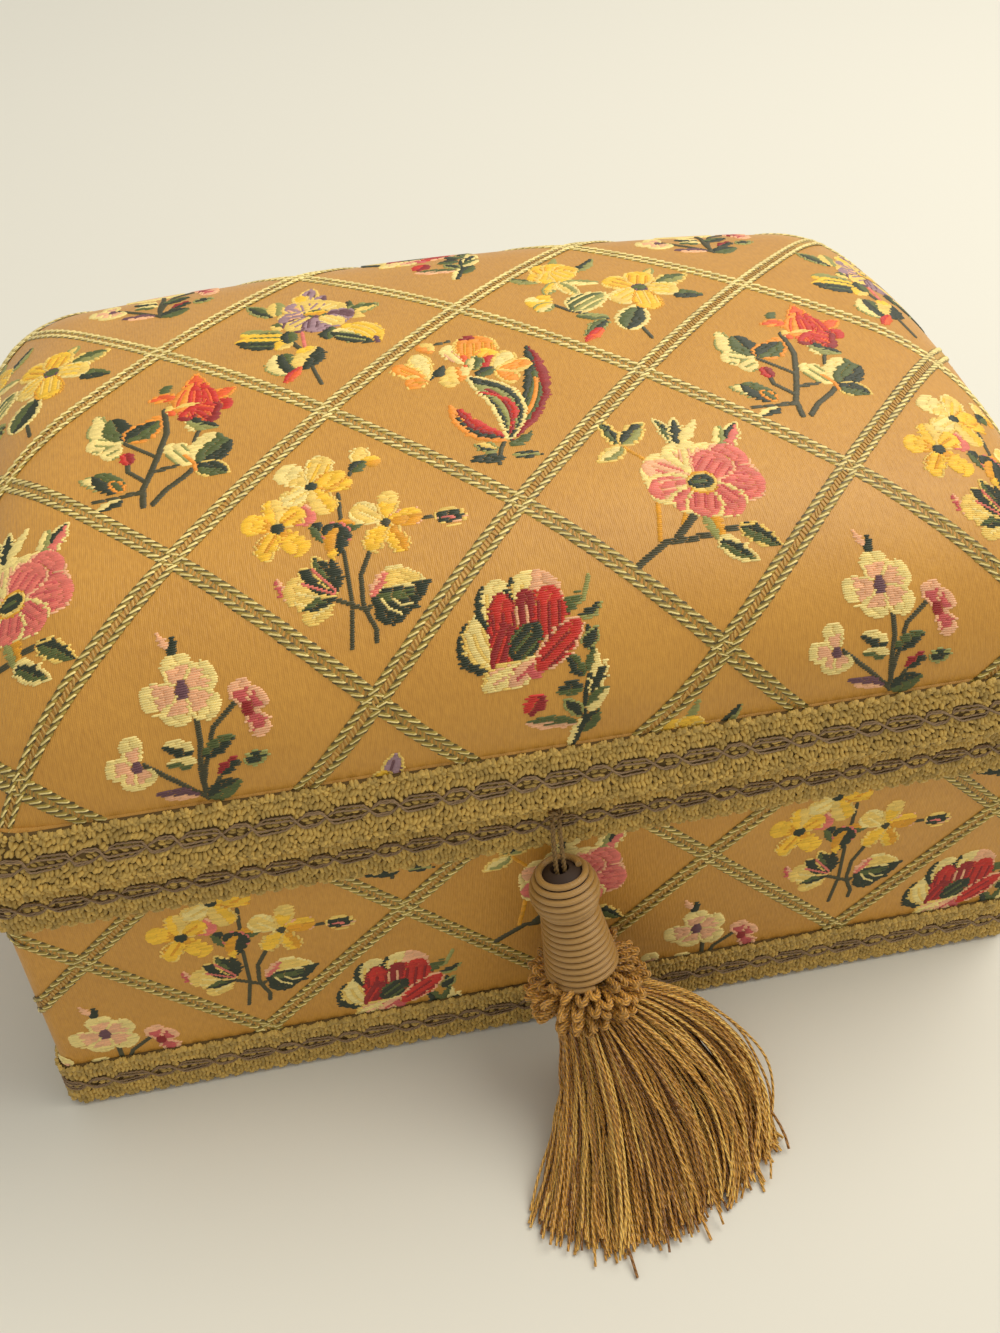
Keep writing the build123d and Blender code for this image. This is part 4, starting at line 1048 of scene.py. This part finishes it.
def leafMasks(shape, x, y, rng):
    # how far along a leaf each place is and how far beside its middle, how wide the leaf is there, and
    # which places lie inside its two curved sides
    root, tip = np.array(shape["root"], float), np.array(shape["tip"], float)
    way = tip - root
    length = np.hypot(*way)
    way = way / length
    along = ((x - root[0]) * way[0] + (y - root[1]) * way[1]) / length
    inside = np.clip(along, 1e-6, 1 - 1e-6)
    side = -(x - root[0]) * way[1] + (y - root[1]) * way[0]
    side = side - shape.get("bend", 0) * 4 * inside * (1 - inside)
    start, point = shape.get("start", 0.6), shape.get("point", 0.85)
    peak = start / (start + point)
    reach = inside**start * (1 - inside) ** point / (peak**start * (1 - peak) ** point)
    reach = reach * shape["width"] / 2 + rng.normal(0, weave["ragged"], (len(y), 1))
    return along, side, reach, (along > 0) & (along < 1) & (np.abs(side) < reach)


def stemMask(shape, x, y):
    # a stroke of even width through its points
    points = np.array(shape["points"], float)
    nearest = np.full(np.broadcast(x, y).shape, 1e9)
    for start, end in zip(points, points[1:]):
        way = end - start
        share = ((x - start[0]) * way[0] + (y - start[1]) * way[1]) / (way @ way)
        share = np.clip(share, 0, 1)
        gap = np.hypot(x - start[0] - share * way[0], y - start[1] - share * way[1])
        nearest = np.minimum(nearest, gap)
    return nearest < shape["width"] / 2


def paintShapes(shapes, rng):
    # which silk shows at each place of the diamond, row by row
    x = np.arange(weave["left"], weave["right"], weave["sample"])[None, :]
    y = np.arange(weave["low"], weave["high"], weave["row"])[:, None]
    silk = np.full((len(y), x.shape[1]), -1)
    for shape in shapes:
        if "points" in shape:
            silk[stemMask(shape, x, y)] = shape["silk"]
            continue
        along, side, reach, inside = leafMasks(shape, x, y, rng)
        silk[inside] = shape["silk"]
        layers = []
        if "half" in shape:
            layers.append((shape["half"], side < rng.normal(0, weave["halfRagged"], (len(y), 1))))
        if "flush" in shape:
            second, share = shape["flush"]
            layers.append((second, along > share + rng.normal(0, weave["flushRagged"], (len(y), 1))))
        if "stripe" in shape:
            wave = np.sin(2 * math.pi * side / weave["stripePitch"] + weave["stripeLean"] * along)
            striped = (along > weave["stripeFrom"]) & (along < weave["stripeTo"])
            layers.append((shape["stripe"], (wave > weave["stripeCut"]) & striped))
        if "vein" in shape:
            second, width = shape["vein"]
            layers.append((second, (np.abs(side) < width / 2) & (along < weave["veinTo"])))
        if "edge" in shape:
            layers.append((shape["edge"][0], np.abs(side) > reach - shape["edge"][1]))
        for second, mask in layers:
            silk[inside & mask] = second
    return x.ravel(), y.ravel(), silk


def floatsOf(shapes, seed):
    # each row of one silk becomes threads of about the weaver's longest float or less
    rng = np.random.default_rng(seed)
    x, y, silk = paintShapes(shapes, rng)
    rows = []
    for row in range(len(y)):
        line = silk[row]
        changes = np.flatnonzero(np.diff(line)) + 1
        starts = np.concatenate([[0], changes])
        ends = np.concatenate([changes, [len(line)]])
        for start, end in zip(starts, ends):
            if line[start] < 0:
                continue
            begin, length = x[start], (end - start) * weave["sample"]
            if length < weave["shortest"]:
                continue
            count = max(1, math.ceil(length / weave["longest"] - 0.2 * rng.random()))
            cuts = begin + length * np.linspace(0, 1, count + 1)
            cuts[1:-1] += rng.normal(0, 0.3, count - 1)
            for low, high in zip(cuts, cuts[1:]):
                rows.append(((low + high) / 2, y[row], high - low, line[start]))
    return np.array(rows)


flowers = {
    "rise": 0.34 * mm, "width": 0.52 * mm, "overlap": 0.12, "beyond": 30 * mm, "turnSpread": 0.03,
    "shade": 0.88, "shadeSpread": 0.24,
}
motifs = (wildRose, yellowFlowers, iris, redLily, narcissus, pansy, tulip, pinkSpray)
wovenFloats = [floatsOf(shapes, seed) for seed, shapes in enumerate(motifs)]
silkTints = np.array([linear(*colour) for colour in silks.values()])


def wovenFlowers(name, cloth, body, seed, leftHalf):
    # each diamond of the trellis holds the spray that its row and column call for; a cloth's two halves
    # are two pieces
    rng = np.random.default_rng(seed)
    threads = Threads()
    for row in pattern["rows"]:
        for column in pattern["columns"]:
            across = column + 0.5 * (row % 2 == 0)
            middleX = cloth["originX"] + across * cloth["width"]
            middleY = cloth["originY"] + row / 2 * cloth["height"]
            if abs(middleX) > cloth["reachX"] + 0.5 * cloth["width"] or (middleX < 0) != leftHalf:
                continue
            if not cloth["lowY"] - flowers["beyond"] < middleY < cloth["highY"] + flowers["beyond"]:
                continue
            rows = wovenFloats[2 * (row % 4) + column % 2]
            x = middleX + rows[:, 0] * mm * cloth["width"] / pattern["width"]
            y = middleY + rows[:, 1] * mm * cloth["height"] / pattern["height"]
            shade = flowers["shade"] + flowers["shadeSpread"] * rng.random((len(rows), 1))
            layThreads(threads, cloth["onto"], x, y, rng.normal(0, flowers["turnSpread"], len(rows)),
                       (rows[:, 2] + flowers["overlap"]) * mm, flowers["width"], flowers["rise"],
                       silkTints[rows[:, 3].astype(int)] * shade)
    return threads.piece(name, finishes["silk"], body)


wovenFlowers("flowers_lid_left", lidPattern, "lid", 13, True)
wovenFlowers("flowers_lid_right", lidPattern, "lid", 14, False)
baseFlowers = [wovenFlowers("flowers_base_left", basePattern, "base", 15, True),
               wovenFlowers("flowers_base_right", basePattern, "base", 16, False)]

# Scroll gimp: a backing strip, fans of wrapped yarn at both edges and fine cords that part and cross
gimp = {
    "width": 16.2 * mm, "backing": 0.7 * mm, "inset": 0.5 * mm, "scallop": 3.8 * mm, "repeat": 15.9 * mm,
    "swell": 1.85 * mm, "flat": 0.17, "crossing": 0.25,
    "gap": 0.3 * mm, "crimp": 0.42, "grooveStart": 2.5 * mm, "grooveEnd": 7.0 * mm, "grooveFrom": 0.23,
    "grooveRun": 0.22, "cordSteps": 28, "cordRadius": 0.25 * mm, "cordLift": 0.62 * mm, "cordOver": 0.24 * mm,
    "light": linear(190, 156, 76), "hollowShade": linear(104, 80, 36), "cord": linear(150, 120, 84),
}
# the ribs of a fan, the loops at its edge and the short yarns between the cords
ribs = {"count": 4, "apart": 0.24, "lean": 0.06, "width": 1.16 * mm, "rootWidth": 1.12 * mm, "rise": 1.05}
edgeLoops = {"apart": 0.27, "turn": 0.3, "length": 1.6 * mm, "width": 1.0 * mm, "rise": 1.2 * mm}
fillers = {"pitch": 1.9 * mm, "level": 1.05 * mm, "length": 1.7 * mm, "width": 0.9 * mm, "rise": 0.5 * mm}
hingeNotch = {"x": 70 * mm, "half": 12.6 * mm, "low": 84.8 * mm, "high": 89.3 * mm}


def clearOfHinges(place):
    # the braid is cut away behind the hinges
    near = np.abs(np.abs(place[..., 0]) - hingeNotch["x"]) < hingeNotch["half"]
    level = (place[..., 2] > hingeNotch["low"]) & (place[..., 2] < hingeNotch["high"])
    return ~(near & level & (place[..., 1] > 0))


def latticeShare(run, around):
    # where each place lies in its repeat: zero in the middle of a flat oval, a half between two of them
    return np.mod(run / around * round(around / gimp["repeat"]) + 0.5, 1) - 0.5


def latticeReach(share):
    # how far a cord stands from the middle: flat over an oval, crossing to the other side between two
    part = np.clip((np.abs(share) - gimp["flat"]) / gimp["crossing"], 0, 1)
    return gimp["swell"] * (1 - part - part**2 * (3 - 2 * part))


def gimpBraid(name, faceAt, body, node, seed):
    rng = np.random.default_rng(seed)
    bottom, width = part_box(node)[0].z, gimp["width"]
    middle = bottom + width / 2
    middleRing = faceValues(faceAt, middle)
    around = ringLengths(*middleRing).sum()
    count = round(around / gimp["scallop"])
    step = around / count
    ringRows = []
    for up, out in ((width - gimp["inset"], 0.0), (width - gimp["inset"], gimp["backing"]),
                    (gimp["inset"], gimp["backing"]), (gimp["inset"], 0.0)):
        overhang, radius = faceValues(faceAt, bottom + up)
        ringRows.append((overhang + out, radius + out, bottom + up))
    strip = roundTheBox(ringRows, middleRing)
    backing = clothPiece(name + "_backing", [strip], "gimpBack", body)
    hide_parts(node)
    threads = Threads()

    def yarn(run, root, way, lean, length, thickness, rise):
        # a short length of yarn from its root, upwards or downwards
        place, out, side, up = onBand(run, middle + way * root, faceAt, middle)
        lean = np.broadcast_to(lean, run.shape)[:, None]
        along = unit(way * up * np.cos(lean) + side * np.sin(lean))
        centre = place + out * gimp["backing"] + along * length[:, None] / 2
        kept = clearOfHinges(centre + along * length[:, None] / 2) & (length > 0.3 * mm)
        tint = np.array(gimp["light"]) * (0.7 + 0.5 * rng.random((len(run), 1)))
        threads.add(centre[kept], along[kept], out[kept], length[kept],
                    *(np.broadcast_to(value, run.shape)[kept] for value in (thickness, rise)), tint[kept])

    def rib(run, root, way, lean, length, thickness, rise, bends):
        # a rib of crimped yarn, as bends that lean to one side and then to the other
        part = length / bends
        first = rng.choice((-1, 1), run.shape)
        for bend in range(bends):
            crimp = first * (-1) ** bend * gimp["crimp"] * rng.uniform(0.5, 1.2, run.shape)
            yarn(run - 0.5 * crimp * part, root + bend * part, way, lean + crimp, 1.16 * part / np.cos(crimp),
                 thickness, rise * rng.uniform(0.86, 1.1, run.shape))

    for way in (-1, 1):
        for ridge in range(ribs["count"]):
            offset = ridge - (ribs["count"] - 1) / 2
            run = (np.arange(count) + 0.5 + ribs["apart"] * offset) * step + rng.normal(0, 0.05 * mm, count)
            share = latticeShare(run, around)
            root = np.abs(latticeReach(share)) + gimp["gap"] + 0.1 * mm * rng.random(count)
            edge = width / 2 - (0.36 * offset**2 + 0.1 * rng.random(count)) * mm
            opening = (np.abs(share) - gimp["grooveFrom"]) / gimp["grooveRun"]
            groove = gimp["grooveStart"] + (gimp["grooveEnd"] - gimp["grooveStart"]) * opening
            parted = (np.abs(share) > gimp["grooveFrom"]) & (groove < edge - 0.8 * mm)
            upperRoot = np.where(parted, groove + 0.5 * gimp["gap"], root)
            lowerTop = np.where(parted, groove - 0.5 * gimp["gap"], root)
            lean = ribs["lean"] * offset + rng.normal(0, 0.02, count)
            rise = (ribs["rise"] - 0.1 * offset**2) * mm
            rib(run, upperRoot, way, lean, edge - upperRoot, ribs["width"], rise, 3)
            rib(run, root, way, rng.normal(0, 0.03, count), lowerTop - root, ribs["rootWidth"],
                0.85 * rise, 2)
        for ridge in (-1, 0, 1):
            run = (np.arange(count) + 0.5 + edgeLoops["apart"] * ridge) * step
            run = run + rng.normal(0, 0.08 * mm, count)
            edge = width / 2 - (0.75 + 0.5 * abs(ridge)) * mm
            yarn(run - edgeLoops["length"] / 2, edge + np.zeros(count), way,
                 math.pi / 2 + way * edgeLoops["turn"] * ridge, np.full(count, edgeLoops["length"]),
                 edgeLoops["width"], edgeLoops["rise"])
    count = round(around / fillers["pitch"])
    for side in (-1, 0, 1):
        level = side * fillers["level"]
        run = (np.arange(count) + 0.4 * rng.random(count)) * around / count
        run = run[np.abs(level) < np.abs(latticeReach(latticeShare(run, around))) + 0.2 * mm]
        yarn(run, np.full(run.shape, level), 1, math.pi / 2 + rng.normal(0, 0.2, len(run)),
             np.full(run.shape, fillers["length"]), fillers["width"], fillers["rise"])
    threads.piece(name + "_ribs", finishes["gimp"], body, shape=ribShape)
    latticeCords(name + "_lattice", middle, around, faceAt, body, rng)


def latticeCords(name, middle, around, faceAt, body, rng):
    # two pairs of fine cords: the outer ones round every oval, the inner ones closer in the flat ovals
    count = round(around / gimp["repeat"]) * gimp["cordSteps"]
    run = np.arange(count) * around / count
    share = latticeShare(run, around)
    outer = latticeReach(share)
    inner = outer * np.interp(np.abs(share), [0.0, 0.2, 0.34, 0.5], [0.5, 0.55, 0.9, 0.75])
    strands = []
    for side, reach, shift in ((1, outer, 0), (-1, outer, 0.5), (1, inner, 0.1), (-1, inner, 0.6)):
        height = middle + side * reach + rng.normal(0, 0.04 * mm, count)
        place, out, _, _ = onBand(run, height, faceAt, middle)
        over = gimp["cordOver"] * np.sin(2 * math.pi * (share + shift))
        lift = gimp["backing"] + gimp["cordLift"] + over
        tint = np.array(gimp["cord"]) * (0.9 + 0.2 * rng.random())
        strands.append((place + out * lift[:, None], gimp["cordRadius"], tint, True))
    yarnPiece(name, strands, finishes["lattice"], body, sides=5)


ribShape = stitchShapeMade("ribShape", ribStations, 4)
# the backing is coloured dark, as painted shade in the hollows between the ribs
finishes["gimpBack"] = plainMaterial("gimpBacking", gimp["hollowShade"], 0.9)
gimpBraid("gimp_rim", baseFace, "base", "base_top_braid", 21)
gimpBraid("gimp_foot", baseFace, "base", "base_bottom_braid", 22)
gimpBraid("gimp_lid", lipFace, "lid", "lid_braid", 23)


# The tassel, from the knot under the lid's lip
knotLow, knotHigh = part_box("tassel_knot")
knot = np.array((knotLow + knotHigh) / 2)
headTop = knot + np.array([0, -4.1, -13.9]) * mm
headFoot = knot + np.array([4.3, -10.6, -44.1]) * mm
headLength = float(np.linalg.norm(headTop - headFoot))
headUp = unit(headTop - headFoot)
headRight = unit(np.array([1.0, 0, 0]) - headUp * headUp[0])
headBack = np.cross(headUp, headRight)
tassel = {
    "strand": 1.2 * mm, "cordLength": 61.0 * mm, "cordPitch": 2.6 * mm, "knotRadius": 1.25 * mm,
    "wound": 0.8 * mm, "pitch": 1.8 * mm, "firstTurn": 4.5 * mm,
    "ball": 7.6 * mm, "neck": 6.1 * mm, "foot": 8.4 * mm,
    "ruffRadius": 14.6 * mm, "ruffHeight": 9.0 * mm, "ruffPly": 0.44 * mm,
    "ruffRows": ((0.80, 0.10, 17), (0.95, 0.32, 21), (1.0, 0.58, 22), (0.92, 0.84, 19)),
    "clumps": 62, "perClump": 14, "threadRadius": 0.35 * mm, "skirtRadius": 8.4 * mm,
    "cord": linear(132, 100, 48), "head": linear(188, 144, 78), "ruff": linear(206, 150, 62),
    "skirt": (linear(146, 94, 28), linear(214, 154, 56), linear(248, 198, 94)),   # from dark to light
}


def onHead(radius, angle, depth):
    # depth is measured down the head's own axis from its top
    radius, angle, depth = (np.asarray(value, float)[..., None] for value in (radius, angle, depth))
    ring = headRight * np.cos(angle) + headBack * np.sin(angle)
    return headTop + ring * radius - headUp * depth


def hangerLine():
    # the middle of the cord: the two strands side by side, as the CAD cord runs
    route = [(0.0, 0.0, -2.1, 0.8), (-0.2, -2.0, -6.5, 0.85), (0.1, -4.6, -14.7, 0.95),
             (1.3, -6.0, -23.1, 1.1), (2.4, -7.7, -30.6, 1.2)]
    points = [(x - half, y, z) for x, y, z, half in route]
    points += [(x + half, y, z) for x, y, z, half in route[::-1]]
    curve = bpy.data.curves.new("hangerLine", "CURVE")
    curve.dimensions = "3D"
    curve.resolution_u = 22
    spline = curve.splines.new("NURBS")
    spline.points.add(len(points) - 1)
    for point, place in zip(spline.points, points):
        point.co = (*(knot + np.array(place) * mm), 1)
    spline.order_u = 3
    spline.use_endpoint_u = True
    line = addObject("hangerLine", curve)
    graph = bpy.context.evaluated_depsgraph_get()
    mesh = bpy.data.meshes.new_from_object(line.evaluated_get(graph))
    places = np.array([vertex.co for vertex in mesh.vertices])
    bpy.data.objects.remove(line)
    return places


hangerPath = hangerLine()
hangerLength = float(np.linalg.norm(np.diff(hangerPath, axis=0), axis=1).sum())
print("hanging cord's centre line", round(hangerLength, 4))
hangingCord = yarnPiece("hanging_cord", [(hangerPath, 0.34 * mm, tassel["cord"], False)],
                        finishes["lattice"], "tassel", sides=8, plies=2, offset=0.29 * mm,
                        pitch=tassel["cordPitch"])
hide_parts("tassel_cord")


def knotPoints():
    # an overhand knot pulled into a ball
    turn = np.linspace(0, 2 * math.pi, 72, endpoint=False)
    x = np.sin(turn) + 2 * np.sin(2 * turn)
    y = np.cos(turn) - 2 * np.cos(2 * turn)
    z = -1.3 * np.sin(3 * turn)
    return knot + np.stack([x, z, y], -1) * tassel["knotRadius"] / 3


hangerKnot = yarnPiece("hanger_knot", [(knotPoints(), 0.33 * mm, tassel["cord"], True)], finishes["lattice"],
                       "tassel_hanger", sides=8, plies=2, offset=0.28 * mm,
                       pitch=tassel["cordPitch"])
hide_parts("tassel_knot")


def woundHead():
    # one cord wound down over the ball and then down the cone
    low = math.asin(tassel["firstTurn"] / tassel["ball"])
    high = math.pi - math.asin(tassel["neck"] / tassel["ball"])
    ballRun = tassel["ball"] * (high - low)
    neckDepth = tassel["ball"] * (math.cos(low) - math.cos(high))
    coneDepth = headLength - neckDepth - 1.2 * mm
    coneRun = math.hypot(coneDepth, tassel["foot"] - tassel["neck"])
    turns = (ballRun + coneRun) / tassel["pitch"] + 0.3
    turn = np.linspace(0, turns, int(30 * turns))
    run = turn * tassel["pitch"]
    angle = low + np.minimum(run, ballRun) / tassel["ball"]
    share = np.maximum(0, run - ballRun) / coneRun
    onBall = run < ballRun
    radius = np.where(onBall, tassel["ball"] * np.sin(angle),
                      tassel["neck"] + share * (tassel["foot"] - tassel["neck"]))
    depth = np.where(onBall, tassel["ball"] * (math.cos(low) - np.cos(angle)), neckDepth + share * coneDepth)
    points = onHead(radius, 2 * math.pi * turn, depth + 0.6 * mm)
    return yarnPiece("head_winding", [(points, tassel["wound"], tassel["head"], False)], finishes["winding"],
                     "tassel", sides=10)


headWinding = woundHead()
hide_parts("tassel_winding")


def ruffOfLoops():
    # narrow loops of twisted yarn, each turned and curled its own way; a row has its share of the reach,
    # its depth and its number of loops
    rng = np.random.default_rng(31)
    strands = []
    base = 0.48 * tassel["ruffRadius"]
    part = np.linspace(0, 1, 20)
    for row, (share, depth, count) in enumerate(tassel["ruffRows"]):
        for index in range(count):
            around = 2 * math.pi * (index + 0.5 * row + rng.normal(0, 0.14)) / count
            tip = share * tassel["ruffRadius"] * rng.uniform(0.94, 1.06)
            halfWidth = rng.uniform(0.95, 1.35) * mm
            turn = rng.uniform(-1.3, 1.3)
            outward = base + (tip - base) * np.sin(math.pi * part) ** 0.7
            reached = (outward - base) / (tip - base)
            sideways = -halfWidth * np.cos(math.pi * part)
            curl = rng.normal(0, 1.3) * mm * reached ** 2
            middle = headLength + depth * tassel["ruffHeight"] + rng.normal(0, 0.3 * mm)
            down = middle + sideways * math.sin(turn) + curl + (row - 1.5) * 0.5 * mm * reached
            points = onHead(outward, around + sideways * math.cos(turn) / outward, down)
            tint = np.array(tassel["ruff"]) * rng.uniform(0.82, 1.18)
            strands.append((points, tassel["ruffPly"], tint, False))
    return yarnPiece("ruff_loops", strands, finishes["tassel"], "tassel", sides=6, plies=3,
                     offset=0.42 * mm, pitch=2.8 * mm)


ruffLoops = ruffOfLoops()
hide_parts("tassel_ruff")


# The skirt's fan on the table, from its left edge to its right: headings in degrees from the front
# where the threads bend and where they end, how far the ends and the bend reach, and how the threads
# leave the ruff, outwards and downwards
fan = {
    "share": [0.0, 0.27, 0.65, 1.0],
    "bendHeading": [-24.0, -1.0, 42.0, 84.0],
    "tipHeading": [-25.0, -4.0, 25.0, 52.0],
    "reach": [43 * mm, 49 * mm, 46 * mm, 51 * mm],
    "bendShare": [0.52, 0.62, 0.82, 1.04],
    "outwards": [2 * mm, 6 * mm, 11 * mm, 18 * mm],
    "downwards": [9 * mm, 5 * mm, 3 * mm, 0 * mm],
}


def towards(heading):
    # a way along the table, by its heading in degrees from the front
    return np.array([math.sin(math.radians(heading)), -math.cos(math.radians(heading)), 0])


def skirtThread(across, layer, spread, tipTurn, tipReach, rng):
    # one thread: down from under the ruff, over the bend and out to its end on the table
    share = np.linspace(0, 1, 28)[:, None]
    fanned = {key: float(np.interp(across, fan["share"], fan[key])) for key in fan}
    top = headTop - headUp * (headLength + 0.62 * tassel["ruffHeight"])
    foot = np.array([top[0], top[1], 0])
    reach = fanned["reach"] + tipReach
    x = 2 * across - 1
    ring = headRight * x - headBack * (2 * layer - 1) * math.sqrt(max(0.0, 1 - 0.9 * x**2))
    start = top + ring * tassel["skirtRadius"] * spread
    bendWay = towards(fanned["bendHeading"] + 0.5 * tipTurn)
    second = start + bendWay * fanned["outwards"] * (0.3 + 0.7 * layer)
    second = second - headUp * (fanned["downwards"] + 7 * (1 - layer) * mm)
    bend = foot + bendWay * reach * fanned["bendShare"] * (0.5 + 0.5 * layer)
    bend[2] = (2.0 + 13.0 * layer) * mm
    tip = foot + towards(fanned["tipHeading"] + tipTurn) * reach
    tip[2] = (0.5 + 2.6 * layer * rng.random()) * mm
    line = ((1 - share) ** 3 * start + 3 * (1 - share) ** 2 * share * second
            + 3 * (1 - share) * share**2 * bend + share**3 * tip)
    for bends, size in ((rng.uniform(5, 11), 0.75), (rng.uniform(18, 30), 0.26)):
        wave = np.sin(share * bends + rng.uniform(0, 6)) * share**0.6
        line = line + wave * rng.normal(0, size, 3) * mm
    line[:, 2] = np.maximum(line[:, 2], (0.4 + 0.5 * rng.random()) * mm)
    return line


def skirtThreads(name, layers, seed):
    # clumps of threads that end together, and a few that stray
    rng = np.random.default_rng(seed)
    strands = []
    clumps = tassel["clumps"] // 2
    for clump in range(clumps):
        across = (clump + rng.random()) / clumps
        layer = rng.uniform(*layers)
        tipTurn, tipReach = rng.normal(0, 3.2), rng.normal(0, 1.8) * mm
        tone = rng.normal(0, 0.12)
        for index in range(tassel["perClump"]):
            stray = 3.0 if rng.random() < 0.05 else 1.0
            line = skirtThread(
                np.clip(across + stray * rng.normal(0, 0.02), 0, 1),
                np.clip(layer + rng.normal(0, 0.1), 0, 1), rng.uniform(0.72, 1.05),
                tipTurn + stray * rng.normal(0, 2.4), tipReach + stray * rng.normal(0, 1.5) * mm, rng,
            )
            mix = np.clip(0.5 + tone + rng.normal(0, 0.3), 0, 1)
            tint = [np.interp(mix, [0, 0.45, 1], channel) for channel in zip(*tassel["skirt"])]
            strands.append((line, tassel["threadRadius"] * rng.uniform(0.85, 1.1), tint, False))
    return yarnPiece(name, strands, finishes["tassel"], "tassel", sides=5)


underSkirt = skirtThreads("skirt_under", (0.0, 0.6), 32)
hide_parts("tassel_skirt")
skirtThreads("skirt_over", (0.5, 1.0), 33)


# Linings: padded satin panels, each a puffed face over its card
def panelPart(axis, way, level, first, second, corner=(0, 0)):
    # a grid as one part of a cloth, looking the given way along an axis; its flat ways are the other two
    flatAxes = [index for index in range(3) if index != axis]
    places = np.zeros((*first.shape, 3))
    places[..., axis] = level
    places[..., flatAxes[0]] = corner[0] + first
    places[..., flatAxes[1]] = corner[1] + second
    faces = gridFaces(*first.shape)
    turned = (way > 0) != (axis == 1)
    return (places.reshape(-1, 3), faces if turned else [face[::-1] for face in faces],
            np.stack([first.ravel(), second.ravel()], -1))


def puffedPad(name, node, body, facing, puff, rounding=1.6 * mm):
    # facing: the axis and the way in which the panel's face looks
    low, high = (np.array(corner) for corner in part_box(node))
    axis, way = facing
    flatAxes = [index for index in range(3) if index != axis]
    size = (high - low)[flatAxes]
    lines = []
    for length in size:
        edge = np.array([0, 0.1, 0.3, 0.6, 1.0]) * rounding
        inner = np.linspace(rounding, length - rounding, 30)[1:-1]
        lines.append(np.concatenate([edge, inner, length - edge[::-1]]))
    first, second = np.meshgrid(*lines)
    inset = np.minimum(np.minimum(first, size[0] - first), np.minimum(second, size[1] - second))
    share = np.clip(inset / rounding, 0, 1)
    rise = ((high - low)[axis] - puff) * np.sqrt(1 - (1 - share) ** 2)
    rise = rise + puff * np.sin(math.pi * first / size[0]) ** 0.5 * np.sin(math.pi * second / size[1]) ** 0.5
    level = (low[axis] if way > 0 else high[axis]) + way * rise
    made = clothPiece(name, [panelPart(axis, way, level, first, second, low[flatAxes])], "lining", body)
    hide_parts(node)


for side, facing in (("front", (1, 1)), ("back", (1, -1)), ("left", (0, 1)), ("right", (0, -1))):
    puffedPad("satin_" + side, "lining_" + side, "base", facing, 0.9 * mm)
puffedPad("satin_floor", "lining_floor_pad", "base", (2, 1), 2.2 * mm, 4 * mm)
puffedPad("satin_lid", "lid_lining_pad", "lid", (2, -1), 2.4 * mm, 4 * mm)


def liningBand():
    # the band inside the lid's rails: its four faces, and its lower edges
    low, high = (np.array(corner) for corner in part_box("lid_lining_band"))
    thick = 1.4 * mm
    parts = []
    inner = (high - low)[:2] / 2 - thick
    for axis, way in ((0, -1), (0, 1), (1, -1), (1, 1)):
        reach = inner[1 - axis]
        first, second = np.meshgrid(np.linspace(-reach, reach, 60), np.linspace(low[2], high[2], 6))
        parts.append(panelPart(axis, -way, way * inner[axis], first, second))
        strip = np.full((4, 3), low[2])
        strip[:, axis] = way * (inner[axis] + np.array([0, 0, thick, thick]))
        strip[:, 1 - axis] = [-reach, reach, -reach, reach]
        parts.append((strip, [(0, 1, 3, 2)], np.zeros((4, 2))))
    made = clothPiece("satin_band", parts, "lining", "lid")
    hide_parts("lid_lining_band")


liningBand()
finishes["underside"] = plainMaterial("undersideCloth", linear(66, 50, 36), 0.92, sheen=0.3)
paint("underside", "base_under_cloth")
for side in ("front", "back", "left", "right"):
    paint("wood", f"base_{side}_board", f"lid_{side}_rail")
paint("wood", "base_floor_board", "lid_board")
paint("mould", "tassel_mould")
for side in ("left", "right"):
    paint("brass", f"hinge_{side}_base_leaf", f"hinge_{side}_lid_leaf", f"hinge_{side}_pin")
paint("brass", "hinge_base_screws", "hinge_lid_screws")


# Camera, as the photograph was taken
def photoCamera():
    # turned by pitch, yaw and roll, in degrees
    pitch, yaw, roll = (math.radians(angle) for angle in (42.58, -9.925, -1.892))
    data = bpy.data.cameras.new("photoCamera")
    data.sensor_fit = "AUTO"
    data.sensor_width = 36
    data.lens = 38.71
    data.clip_end = 20
    made = addObject("photoCamera", data)
    rolled = Matrix(((math.cos(roll), -math.sin(roll), 0), (math.sin(roll), math.cos(roll), 0), (0, 0, 1)))
    sine, cosine = math.sin(pitch), math.cos(pitch)
    tipped = Matrix(((1, 0, 0), (0, -sine, -cosine), (0, cosine, -sine)))
    right, down, forward = rolled @ tipped @ Matrix.Rotation(yaw, 3, "Z").transposed()
    turn = Matrix((right, -down, -forward)).transposed().to_4x4()
    made.matrix_world = Matrix.Translation(Vector((-50.29, -306.04, 328.21)) * mm) @ turn
    bpy.context.scene.camera = made


def plainFloor():
    half = 2.2
    corners = [(-half, -half, 0), (half, -half, 0), (half, half, 0), (-half, half, 0)]
    made = addObject("floor", meshFrom("floor", corners, [(0, 1, 2, 3)]))
    material, _, shader = newMaterial("paleFloor", 0.9)
    shader.inputs["Base Color"].default_value = (*linear(222, 219, 206), 1)
    made.data.materials.append(material)


def softLight():
    world = bpy.data.worlds.new("softSky")
    world.use_nodes = True
    sky = world.node_tree.nodes["Background"].inputs
    sky["Color"].default_value = (1.0, 0.985, 0.95, 1)
    sky["Strength"].default_value = 0.62
    bpy.context.scene.world = world
    data = bpy.data.lights.new("windowLight", "AREA")
    data.size = 1.2
    data.energy = 17
    data.color = (1.0, 0.95, 0.86)
    made = addObject("windowLight", data)
    place = Vector((0.75, 0.15, 1.25))
    made.location = place
    made.rotation_euler = (-place).to_track_quat("-Z", "Y").to_euler()


photoCamera()
plainFloor()
softLight()
bpy.context.scene.view_settings.view_transform = "Standard"
print("finished")
